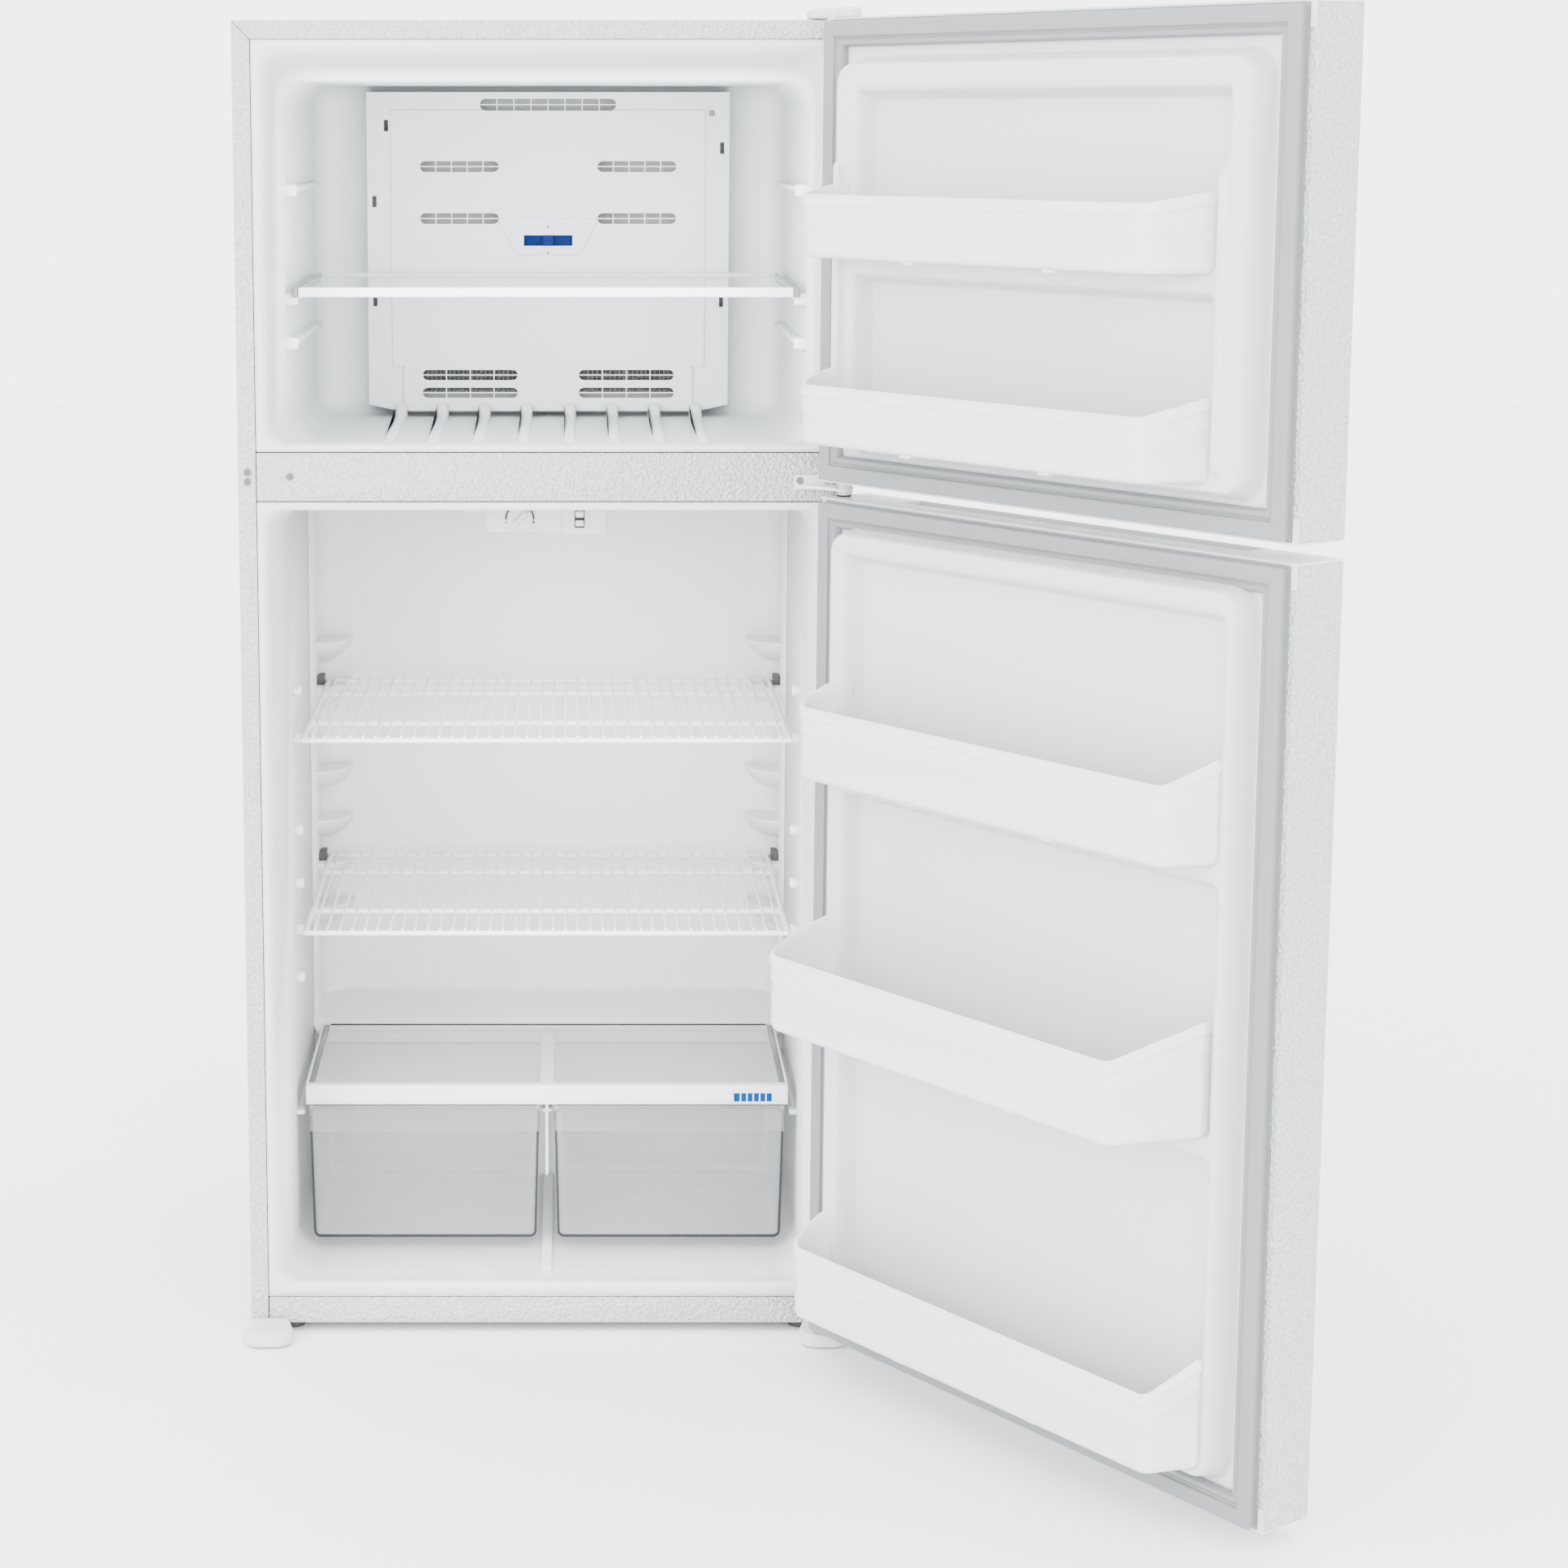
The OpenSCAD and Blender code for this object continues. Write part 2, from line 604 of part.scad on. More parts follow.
module condenser_shroud() color("dimgray") {
    difference() {
        box([shroud_x, machine_y + 4, base_z + 1.5], [shroud_x + 3, cabinet_d - 10, machine_z - 4]);
        rod_x(shroud_x - 5, shroud_x + 8, blower_y, blower_z, blower_r + 4);
    }
    rod_x(shroud_x + 22, shroud_x + 52, blower_y, blower_z, 24);
    rod_x(shroud_x - 4, shroud_x + 24, blower_y, blower_z, 2.5);
    for (s = [-1, 1]) {
        box([shroud_x + 24, blower_y - 5, min(blower_z + s * 20, blower_z + s * 88)],
            [shroud_x + 27, blower_y + 5, max(blower_z + s * 20, blower_z + s * 88)]);
        box([shroud_x + 2, blower_y - 5, min(blower_z + s * 82, blower_z + s * 88)],
            [shroud_x + 27, blower_y + 5, max(blower_z + s * 82, blower_z + s * 88)]);
    }
}

module condenser_fan() color("silver") translate([shroud_x - 6, blower_y, blower_z]) rotate([0, 90, 0])
    rotor(blower_r, 16, 2.5 + run, 18, 5);

module drain_pan() color("white") difference() {
    box([coil_x[0] + 5, machine_y + 6, base_z + 2], [coil_x[1] - 5, cabinet_d - 14, 64]);
    box([coil_x[0] + 7.5, machine_y + 8.5, base_z + 4.5], [coil_x[1] - 7.5, cabinet_d - 16.5, 70]);
}

module machine_cover() color("dimgray") difference() {
    box([-half + 4, cabinet_d - 3, base_z + 3], [half - 4, cabinet_d - 1, machine_z - 3]);
    for (x = [-320:40:-120], k = [0:7]) along_y(cabinet_d - 8, cabinet_d + 2)
        plate([x - 14, 70 + 20 * k - 4], [x + 14, 70 + 20 * k + 4], 3.9);
    for (x = [100:40:300], k = [0:3]) along_y(cabinet_d - 8, cabinet_d + 2)
        plate([x - 14, 170 + 20 * k - 4], [x + 14, 170 + 20 * k + 4], 3.9);
    rod_y(40, cabinet_d - 8, cabinet_d + 2, 60, 9);
}

module cord_gland() color("black") difference() {
    union() {
        rod_y(40, cabinet_d - 12, cabinet_d + 6, 60, 9 - run);
        rod_y(40, cabinet_d - 0.9, cabinet_d + 6, 60, 13);
        rod_y(40, cabinet_d - 12, cabinet_d - 3.1, 60, 12);
    }
    rod_y(40, cabinet_d - 20, cabinet_d + 20, 60, gland_bore_r);
}

// ---- Underside and hinges ----

module leveling_feet() color("dimgray") for (s = [-1, 1]) translate([s * foot_x, foot_y, 0]) {
    cylinder(h = 7, r = foot_r, $fn = 48);
    cylinder(h = base_z + pan_t + 0.4, r = foot_screw_r);
}

module roller_brackets() color("silver") for (s = [-1, 1]) {
    for (t = [-1, 1]) box([s * roller_x + t * 12 - 1, roller_y - 14, base_z + pan_t + 0.1],
        [s * roller_x + t * 12 + 1, roller_y + 14, roller_r + 8]);
    rod_x(s * roller_x - 13, s * roller_x + 13, roller_y, roller_r, axle_r);
}

module rear_rollers() color("dimgray") for (s = [-1, 1]) difference() {
    rod_x(s * roller_x - roller_w / 2, s * roller_x + roller_w / 2, roller_y, roller_r, roller_r);
    rod_x(s * roller_x - roller_w, s * roller_x + roller_w, roller_y, roller_r, axle_r + run);
}

// D shaped cap in front of a corner
module foot_cover(x) translate([x, 0, 2]) difference() {
    linear_extrude(18) {
        translate([-32, -40]) square([64, 39.5]);
        intersection() {
            translate([0, -40]) circle(32);
            translate([-32, -64]) square([64, 24]);
        }
    }
    translate([0, 0, -1]) linear_extrude(16.5) {
        translate([-29.5, -40]) square([59, 41]);
        intersection() {
            translate([0, -40]) circle(29.5);
            translate([-32, -61.5]) square([64, 22]);
        }
    }
}

module foot_covers() color("white") {
    foot_cover(-half + 25);
    difference() {
        foot_cover(half - 25);
        translate([pin_x, pin_y, 0]) cylinder(h = 40, r = pin_r + 4);
    }
}

module top_hinge() color("silver") {
    translate([0, 0, cabinet_h + 1.2]) linear_extrude(3) {
        translate([pin_x, pin_y]) circle(11);
        translate([pin_x - 11, pin_y]) square([22, pin_front + 8]);
        translate([pin_x - 38, 4]) square([49, 80]);
    }
    translate([pin_x - 30, 5, cabinet_h + 0.05]) cube([36, 75, 2]);
    translate([pin_x, pin_y, cabinet_h - 16]) cylinder(h = 18, r = pin_r);
}

module top_hinge_cover() color("white") difference() {
    union() {
        translate([0, 0, cabinet_h + 1.3]) linear_extrude(12.7) {
            translate([pin_x, pin_y]) circle(13.9);
            translate([pin_x - 14, pin_y]) square([27.9, pin_front + 2]);
            translate([pin_x - 44, 0.5]) square([57.9, 90]);
        }
        translate([pin_x - 44, 0.5, cabinet_h + 0.1]) cube([57.9, 90, 4]);
    }
    translate([0, 0, cabinet_h - 1]) linear_extrude(13) {
        translate([pin_x, pin_y]) circle(12);
        translate([pin_x - 12, pin_y]) square([24, pin_front + 4]);
        translate([pin_x - 42, 2.5]) square([53.9, 86]);
    }
}

module center_hinge() color("white") {
    z = mullion_z - 11;
    box([opening - 50, -2.2, z - 4], [opening - 12, -0.1, mullion_z + 3]);
    translate([0, 0, z - 2]) linear_extrude(4) {
        translate([pin_x, pin_y]) circle(11);
        polygon([
            [opening - 48, -1.2], [pin_x - 11, pin_y], [pin_x + 11, pin_y],
            [half - 1, -14], [opening - 14, -1.2]
        ]);
    }
    translate([pin_x, pin_y, z - 18]) cylinder(h = 36, r = pin_r);
    translate([pin_x, pin_y, z - 7]) cylinder(h = 16, r = pin_r + 3);
}

module bottom_hinge() color("silver") {
    translate([0, 0, base_z - 3.2]) linear_extrude(3) {
        translate([pin_x, pin_y]) circle(9);
        translate([pin_x - 9, pin_y]) square([18, pin_front + 60]);
        translate([pin_x - 34, 50]) square([46, 40]);
    }
    translate([pin_x, pin_y, base_z - 3]) cylinder(h = fridge_door[0] + 15 - base_z, r = pin_r);
}

// Low head screw with a cross recess, facing the front
module face_screw(x, y, z) difference() {
    rod_y(x, y - screw_head_t, y, z, screw_head_r);
    for (a = [0, 90]) translate([x, y - screw_head_t, z]) rotate([0, a, 0]) cube([5, 1, 1.2], center = true);
}

module cabinet_screws() color("silver") {
    face_screw(-opening + 42, -0.02, mullion_z + 0.5);
    face_screw(opening - 43, -2.22, mullion_z - 4);
    for (z = [mullion_z - 6, mullion_z + 6]) face_screw(-half + 12, -0.02, z);
    face_screw(228.5, cover_y - 0.02, cover_hi - 29);
}

// ---- Doors ----

module door_panel(span) {
    z0 = span[0] + cap_plate + 0.2;
    z1 = span[1] - cap_plate - 0.2;
    box([-half, door_face, z0], [half, door_face + skin, z1]);
    for (s = [-1, 1]) {
        side_box(s, half - skin, half, [door_face, z0], [door_back, z1]);
        side_box(s, half - edge_lip, half, [door_back - skin, z0], [door_back, z1]);
    }
}

// Solid form of a door liner: base plate and rim, with a pocket for each storage level
module dyke_form(span, dyke, pockets, g) {
    box([-half + edge_lip + 1, door_back - 3, span[0] + 6],
        [half - edge_lip - 1, door_back - g, span[1] - 6]);
    along_y(door_back - 3, dyke_y - g) difference() {
        plate([-dyke_half + g, dyke[0] + g], [dyke_half - g, dyke[1] - g], 18 - g);
        for (p = pockets) plate([p[0] - g, p[1] - g], [p[2] + g, p[3] + g], 10 + g);
    }
}

module door_liner(span, dyke, pockets) difference() {
    dyke_form(span, dyke, pockets, 0);
    intersection() {
        dyke_form(span, dyke, pockets, liner_t);
        box([-half, door_back - 3.1, 0], [half, dyke_y, cabinet_h]);
    }
}

module door_foam(span, dyke, pockets) {
    box([-half + skin + fit, door_face + skin + fit, span[0] + cap_h + fit],
        [half - skin - fit, door_back - 3, span[1] - cap_h - fit]);
    dyke_form(span, dyke, pockets, liner_t + fit);
}

module door_gasket(span) along_y(door_back + 0.1, -gasket_free) difference() {
    translate([-gasket_out, span[0] + gasket_margin])
        square([2 * gasket_out, span[1] - span[0] - 2 * gasket_margin]);
    translate([-gasket_in, span[0] + gasket_margin + 31])
        square([2 * gasket_in, span[1] - span[0] - 2 * gasket_margin - 62]);
}

// End cap of a door; up is 1 for the top cap and -1 for the bottom one
module door_cap(z, up, scooped) difference() {
    union() {
        box([-half, door_face, min(z, z - up * cap_plate)], [half, door_back, max(z, z - up * cap_plate)]);
        box([-half + skin + fit, door_face + skin + fit, min(z, z - up * cap_h)],
            [half - skin - fit, door_back - 3.3, max(z, z - up * cap_h)]);
        box([-half, door_back, min(z, z - up * cap_plate)],
            [-half + edge_lip, door_back + 1.4, max(z, z - up * cap_plate)]);
        box([-half, door_back + 0.1, min(z, z - up * 28)],
            [-half + edge_lip - 4, door_back + 1.4, max(z, z - up * 28)]);
    }
    if (scooped) box([-scoop_half, door_face + 3, min(z - up * scoop_h, z + up)],
        [scoop_half, door_face + scoop_d, max(z - up * scoop_h, z + up)]);
    translate([pin_x, pin_y, z - 30]) cylinder(h = 60, r = pin_r + run);
}

module door_caps(span, scoop_top) {
    door_cap(span[1], 1, scoop_top);
    door_cap(span[0], -1, !scoop_top);
}

// Bin that hooks into the liner: a tray whose back and sides rise above its front
module bin(plan, z) {
    outline = [for (p = plan) [pin_x - p[0], pin_y + p[1]]];
    ccw = [for (i = [len(outline) - 1:-1:0]) outline[i]];
    outer = rounded(ccw, bin_r);
    inner = rounded(inset(ccw, bin_t), bin_r - bin_t);
    translate([0, 0, z[0]]) linear_extrude(bin_floor) polygon(outer);
    translate([0, 0, z[0]]) linear_extrude(z[1] - z[0]) difference() {
        polygon(outer);
        polygon(inner);
    }
    translate([0, 0, z[0]]) linear_extrude(z[2] - z[0]) intersection() {
        difference() {
            polygon(outer);
            polygon(inner);
        }
        translate([-half, pin_y]) square([2 * half, bin_side_d + 4]);
    }
}

// Pockets of the liners, as left, bottom, right and top edges around the bins
freezer_pockets = [
    [pin_x - 654, freezer_bin_z[1][0] - 3, pin_x - 70, freezer_bin_z[0][0] - 16],
    [pin_x - 654, freezer_bin_z[0][0] - 3, pin_x - 70, freezer_dyke[1] - 26]
];
fridge_pockets = [
    [pin_x - 684, fridge_bin_z[2][0] - 3, pin_x - 61, fridge_bin_z[1][0] - 16],
    [pin_x - 684, fridge_bin_z[1][0] - 3, pin_x - 61, fridge_bin_z[0][0] - 16],
    [pin_x - 684, fridge_bin_z[0][0] - 3, pin_x - 61, fridge_dyke[1] - 20]
];

module freezer_door_panel() color("white") on_door() door_panel(freezer_door);
module freezer_door_foam() color("khaki") on_door() door_foam(freezer_door, freezer_dyke, freezer_pockets);
module freezer_door_liner() color("white") on_door() door_liner(freezer_door, freezer_dyke, freezer_pockets);
module freezer_door_gasket() color("lightgray") on_door() door_gasket(freezer_door);
module freezer_door_caps() color("white") on_door() door_caps(freezer_door, false);
module freezer_bin_upper() color("white") on_door() bin(freezer_bin, freezer_bin_z[0]);
module freezer_bin_lower() color("white") on_door() bin(freezer_bin, freezer_bin_z[1]);

module fridge_door_panel() color("white") on_door() door_panel(fridge_door);
module fridge_door_foam() color("khaki") on_door() door_foam(fridge_door, fridge_dyke, fridge_pockets);
module fridge_door_liner() color("white") on_door() door_liner(fridge_door, fridge_dyke, fridge_pockets);
module fridge_door_gasket() color("lightgray") on_door() door_gasket(fridge_door);
module fridge_door_caps() color("white") on_door() door_caps(fridge_door, true);
module fridge_bin_upper() color("white") on_door() bin(shallow_bin, fridge_bin_z[0]);
module fridge_bin_middle() color("white") on_door() bin(deep_bin, fridge_bin_z[1]);
module fridge_bin_lower() color("white") on_door() bin(shallow_bin, fridge_bin_z[2]);

outer_wrapper();
back_panel();
base_pan();
bottom_rail();
mullion_rail();
cabinet_foam();
freezer_liner();
fridge_liner();
evaporator_cover();
evaporator_coil();
fan_bracket();
defrost_heater();
freezer_shelf_glass();
freezer_shelf_trim();
control_housing();
light_bulb();
wire_shelf_upper();
wire_shelf_lower();
shelf_clips();
crisper_cover_frame();
crisper_cover_glass();
compressor();
compressor_mounts();
condenser_coil();
condenser_shroud();
drain_pan();
machine_cover();
cord_gland();
leveling_feet();
roller_brackets();
foot_covers();
top_hinge();
top_hinge_cover();
center_hinge();
bottom_hinge();
cabinet_screws();
evaporator_fan();
freezer_slider();
temperature_dial();
light_switch();
humidity_slider();
crisper_left();
crisper_right();
condenser_fan();
rear_rollers();
freezer_door_panel();
freezer_door_foam();
freezer_door_liner();
freezer_door_gasket();
freezer_door_caps();
freezer_bin_upper();
freezer_bin_lower();
fridge_door_panel();
fridge_door_foam();
fridge_door_liner();
fridge_door_gasket();
fridge_door_caps();
fridge_bin_upper();
fridge_bin_middle();
fridge_bin_lower();
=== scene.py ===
"""Looks of a top freezer refrigerator with both doors open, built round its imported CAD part."""

import json
import math

import bpy
import numpy as np
from mathutils import Matrix, Vector


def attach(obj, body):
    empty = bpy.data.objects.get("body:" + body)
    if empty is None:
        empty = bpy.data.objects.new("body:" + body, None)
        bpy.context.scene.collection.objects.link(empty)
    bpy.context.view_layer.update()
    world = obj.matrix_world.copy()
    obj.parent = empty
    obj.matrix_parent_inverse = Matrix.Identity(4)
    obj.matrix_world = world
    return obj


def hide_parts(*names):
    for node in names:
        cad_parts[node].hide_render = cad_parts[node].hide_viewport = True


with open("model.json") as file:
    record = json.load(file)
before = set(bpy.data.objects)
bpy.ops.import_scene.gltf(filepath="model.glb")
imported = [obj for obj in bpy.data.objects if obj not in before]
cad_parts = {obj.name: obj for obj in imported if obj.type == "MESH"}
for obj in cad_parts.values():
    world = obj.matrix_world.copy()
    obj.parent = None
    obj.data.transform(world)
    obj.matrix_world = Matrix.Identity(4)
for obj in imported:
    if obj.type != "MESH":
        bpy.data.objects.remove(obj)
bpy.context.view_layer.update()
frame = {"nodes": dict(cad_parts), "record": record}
MM = 0.001

# ---- Measures, in millimetres. Doors are drawn shut and then turned to where they stand open. ----

HALF, DEPTH, TOP = 381.0, 690.0, 1666.0
FLANGE = 22.3
MULLION = (1079.0, 1140.0)
RAIL = (12.0, 46.8)
BAY = 331.0
PIN = (367.0, -40.0)
OPEN_DEGREES = 126.0
DOOR_BACK, DOOR_FACE = -16.0, -88.0
FREEZER_DOOR = (1109.0, 1667.0)
FRIDGE_DOOR = (22.0, 1090.0)
GASKET_OUT = 372.0
CAP = 22.0
DYKE_FRONT = 18.0
# How far a corner support reaches, from its foot up to its top, and how low each step lies
SUPPORT_STEPS = [(0.30, -34), (0.55, -30), (0.8, -21), (0.94, -11)]
SUPPORT_STEPS += [(0.985, -6), (1.0, -3), (0.985, -0.8), (0.95, 0)]

door_turn = (
    Matrix.Translation((PIN[0], PIN[1], 0))
    @ Matrix.Rotation(math.radians(OPEN_DEGREES), 4, "Z")
    @ Matrix.Translation((-PIN[0], -PIN[1], 0))
)


# ---- Materials ----


def new_material(name):
    """Empty material with its shader and object coordinates."""
    m = bpy.data.materials.new(name)
    m.use_nodes = True
    tree = m.node_tree
    shader = tree.nodes["Principled BSDF"]
    where = tree.nodes.new("ShaderNodeTexCoord").outputs["Object"]
    return m, tree, shader, where


def noise(tree, where, scale, detail=2.0, rough=0.5):
    """Cloudy grey value."""
    n = tree.nodes.new("ShaderNodeTexNoise")
    n.inputs["Scale"].default_value = scale
    n.inputs["Detail"].default_value = detail
    n.inputs["Roughness"].default_value = rough
    tree.links.new(where, n.inputs["Vector"])
    return n.outputs["Fac"]


def spread(tree, value, low, high):
    """Maps a noise's middle range on to low..high."""
    n = tree.nodes.new("ShaderNodeMapRange")
    n.inputs["From Min"].default_value = 0.3
    n.inputs["From Max"].default_value = 0.7
    n.inputs["To Min"].default_value = low
    n.inputs["To Max"].default_value = high
    tree.links.new(value, n.inputs["Value"])
    return n.outputs["Result"]


def tint(tree, value, shader, color, change):
    """Base colour that drifts a little with value."""
    n = tree.nodes.new("ShaderNodeMix")
    n.data_type = "RGBA"
    n.inputs["A"].default_value = (*[c * (1 - change) for c in color], 1)
    n.inputs["B"].default_value = (*color, 1)
    tree.links.new(value, n.inputs["Factor"])
    tree.links.new(n.outputs["Result"], shader.inputs["Base Color"])


def bump(tree, value, shader, strength, distance):
    """Relief from a grey value."""
    n = tree.nodes.new("ShaderNodeBump")
    n.inputs["Strength"].default_value = strength
    n.inputs["Distance"].default_value = distance
    tree.links.new(value, n.inputs["Height"])
    tree.links.new(n.outputs["Normal"], shader.inputs["Normal"])


def moulded(name, color, rough, grain=12.0, relief=0.03, metal=0.0, change=0.03, deep=0.003, shine=0.5):
    """Moulded plastic or smooth metal: faint cloudy colour, uneven gloss and a slight waviness or grain."""
    m, tree, shader, where = new_material(name)
    shader.inputs["Metallic"].default_value = metal
    shader.inputs["Specular IOR Level"].default_value = shine
    broad = noise(tree, where, 9.0, 3.0)
    tint(tree, broad, shader, color, change)
    fine = noise(tree, where, grain, 2.0)
    uneven = spread(tree, noise(tree, where, 60.0, 3.0), rough * 0.85, rough * 1.15)
    tree.links.new(uneven, shader.inputs["Roughness"])
    bump(tree, fine, shader, relief, deep)
    return m


def embossed_steel(name, color):
    """Painted sheet with a leather-like emboss of small rounded creases, its colour darkened down in the
    creases as painted shade.
    """
    m, tree, shader, where = new_material(name)
    warp = tree.nodes.new("ShaderNodeTexNoise")
    warp.inputs["Scale"].default_value = 90.0
    warp.inputs["Detail"].default_value = 2.0
    tree.links.new(where, warp.inputs["Vector"])
    shift = tree.nodes.new("ShaderNodeVectorMath")
    shift.operation = "MULTIPLY_ADD"
    shift.inputs[1].default_value = (0.006, 0.006, 0.006)
    tree.links.new(warp.outputs["Color"], shift.inputs[0])
    tree.links.new(where, shift.inputs[2])
    cells = tree.nodes.new("ShaderNodeTexVoronoi")
    cells.feature = "SMOOTH_F1"
    cells.inputs["Scale"].default_value = 230.0
    cells.inputs["Smoothness"].default_value = 0.35
    tree.links.new(shift.outputs["Vector"], cells.inputs["Vector"])
    crease_depth_and_shade = tree.nodes.new("ShaderNodeMapRange")
    crease_depth_and_shade.inputs["From Min"].default_value = 0.15
    crease_depth_and_shade.inputs["From Max"].default_value = 0.75
    crease_depth_and_shade.inputs["To Min"].default_value = 1.0
    crease_depth_and_shade.inputs["To Max"].default_value = 0.0
    tree.links.new(cells.outputs["Distance"], crease_depth_and_shade.inputs["Value"])
    # Painted shade: the base colour is up to 28% darker down in the creases.
    tint(tree, crease_depth_and_shade.outputs["Result"], shader, color, 0.28)
    uneven = spread(tree, noise(tree, where, 40.0, 3.0), 0.36, 0.46)
    tree.links.new(uneven, shader.inputs["Roughness"])
    bump(tree, crease_depth_and_shade.outputs["Result"], shader, 1.0, 0.002)
    return m


def clear(name, color, edge_on_painted_shade, rough, body, rim):
    """Clear sheet or moulding: see-through face on, denser where seen edge on, and there darkened to its
    second colour as painted shade for the dark look of clear edges.
    """
    m, tree, shader, where = new_material(name)
    shader.inputs["Roughness"].default_value = rough
    edge = tree.nodes.new("ShaderNodeLayerWeight")
    edge.inputs["Blend"].default_value = 0.35
    # Painted shade: the base colour blends to the darker second colour where the surface is seen edge on.
    shade = tree.nodes.new("ShaderNodeMix")
    shade.data_type = "RGBA"
    shade.inputs["A"].default_value = (*color, 1)
    shade.inputs["B"].default_value = (*edge_on_painted_shade, 1)
    tree.links.new(edge.outputs["Facing"], shade.inputs["Factor"])
    tree.links.new(shade.outputs["Result"], shader.inputs["Base Color"])
    alpha = tree.nodes.new("ShaderNodeMapRange")
    alpha.inputs["To Min"].default_value = body
    alpha.inputs["To Max"].default_value = rim
    tree.links.new(edge.outputs["Facing"], alpha.inputs["Value"])
    tree.links.new(alpha.outputs["Result"], shader.inputs["Alpha"])
    bump(tree, noise(tree, where, 12.0, 1.0), shader, 0.03, 0.002)
    return m


def fluted(name, color, rough):
    """Liner back wall with faint upright flutes."""
    m = moulded(name, color, rough, change=0.015)
    tree = m.node_tree
    where = tree.nodes.new("ShaderNodeTexCoord").outputs["Object"]
    wave = tree.nodes.new("ShaderNodeTexWave")
    wave.bands_direction = "X"
    wave.inputs["Scale"].default_value = 24.0
    tree.links.new(where, wave.inputs["Vector"])
    bump(tree, wave.outputs["Fac"], tree.nodes["Principled BSDF"], 0.25, 0.0008)
    return m


STEEL = embossed_steel("embossed_white_steel", (0.554, 0.563, 0.563))
LINER = moulded("liner_white", (0.605, 0.63, 0.643), 0.42, change=0.015)
FRIDGE_LINER = moulded("fridge_liner_white", (0.638, 0.647, 0.647), 0.42, change=0.015)
DOOR_LINER = moulded("door_liner_white", (0.563, 0.584, 0.592), 0.4, change=0.015)
WHITE = moulded("moulded_white", (0.605, 0.617, 0.622), 0.4, change=0.02)
BIN = moulded("bin_white", (0.672, 0.693, 0.693), 0.38, change=0.015)
COVER = moulded("cover_white", (0.571, 0.592, 0.609), 0.5, change=0.02)
GASKET = moulded("gasket_grey_vinyl", (0.195, 0.21, 0.22), 0.5, 200.0, 0.1, change=0.04, deep=0.0006)
GALV = moulded("galvanised_sheet", (0.50, 0.51, 0.52), 0.42, 60.0, 0.1, 1.0, 0.25, 0.002)
ZINC = moulded("zinc_plated_steel", (0.14, 0.14, 0.14), 0.45, 90.0, 0.1, 1.0, 0.12, 0.001)
# Painted shade: the fins' colour is kept dark so the coil shows as the shade behind the vents.
ALU_WITH_PAINTED_SHADE = moulded("aluminium_fins", (0.22, 0.225, 0.23), 0.5, 90.0, 0.1, 1.0, 0.1, 0.001)
FOAM = moulded("polyurethane_foam", (0.75, 0.62, 0.30), 0.8, 300.0, 0.5, change=0.12, deep=0.001)
# The second colour of each clear material is painted shade, used where the surface is seen edge on.
GLASS = clear("shelf_glass", (0.80, 0.86, 0.86), (0.62, 0.68, 0.68), 0.06, 0.04, 0.3)
CLEAR = clear("clear_styrene", (0.80, 0.84, 0.85), (0.42, 0.46, 0.47), 0.08, 0.05, 0.6)
SMOKE = clear("clear_trim", (0.16, 0.18, 0.19), (0.08, 0.09, 0.10), 0.15, 0.7, 0.95)
# Painted shade: an opaque near black for the dark outlines along the clear drawers' edges and the seam at the
# back of the crisper cover.
DARK_EDGE_SHADE = moulded("drawer_edge_painted_shade", (0.03, 0.033, 0.036), 0.4, change=0.05, shine=0.1)
FLUTED = fluted("fridge_back_white", (0.638, 0.647, 0.647), 0.42)
COATED = moulded("coated_wire_white", (0.672, 0.685, 0.685), 0.3, change=0.02)
BLACK = moulded("black_paint", (0.008, 0.008, 0.009), 0.45, 80.0, 0.1, change=0.3, deep=0.001, shine=0.2)
DARK = moulded("dark_plastic", (0.014, 0.014, 0.016), 0.5, change=0.2, shine=0.1)
# Grey plastic parts; also the painted shade of two slots behind the drawers.
GREY_AND_SLOT_SHADE = moulded("grey_plastic", (0.06, 0.062, 0.065), 0.5, change=0.1, shine=0.2)
BLUE = moulded("blue_plastic", (0.002, 0.014, 0.085), 0.5, change=0.08, shine=0.05)
SKY_BLUE = moulded("window_blue", (0.001, 0.036, 0.16), 0.5, change=0.08, shine=0.05)
RUBBER = moulded("dark_rubber", (0.009, 0.009, 0.009), 0.75, 200.0, 0.3, change=0.2, deep=0.0006)
BULB = clear("bulb_glass", (0.95, 0.94, 0.88), (0.8, 0.79, 0.74), 0.1, 0.35, 0.8)
# Print on the dial scale and the evaporator cover; also painted shade for the control housing's slots and the
# gap round the switch.
INK_AND_SHADE = moulded("grey_print_and_painted_shade", (0.028, 0.03, 0.034), 0.6, change=0.1, shine=0.1)

CAD_LOOKS = {
    "galvanised_steel": GALV,
    "textured_white_steel": STEEL,
    "liner_plastic": LINER,
    "white_plastic": WHITE,
    "insulating_foam": FOAM,
    "gasket_vinyl": GASKET,
    "shelf_glass": GLASS,
    "clear_plastic": CLEAR,
    "coated_wire": COATED,
    "aluminium_fins": ALU_WITH_PAINTED_SHADE,
    "black_steel": BLACK,
    "dark_plastic": DARK,
    "grey_plastic": GREY_AND_SLOT_SHADE,
    "blue_plastic": BLUE,
    "dark_rubber": RUBBER,
    "bulb_glass": BULB,
    "zinc_steel": ZINC,
}


def dress_cad():
    """Gives every CAD node the look of its material slot."""
    slot_of = {s["node"]: s["material_slot"] for s in frame["record"]["subparts"]}
    for name, node in frame["nodes"].items():
        look = CAD_LOOKS[slot_of[name]]
        if name == "evaporator_cover":
            look = COVER
        elif name == "center_hinge":
            look = WHITE
        node.data.materials.clear()
        node.data.materials.append(look)


# ---- Shapes ----


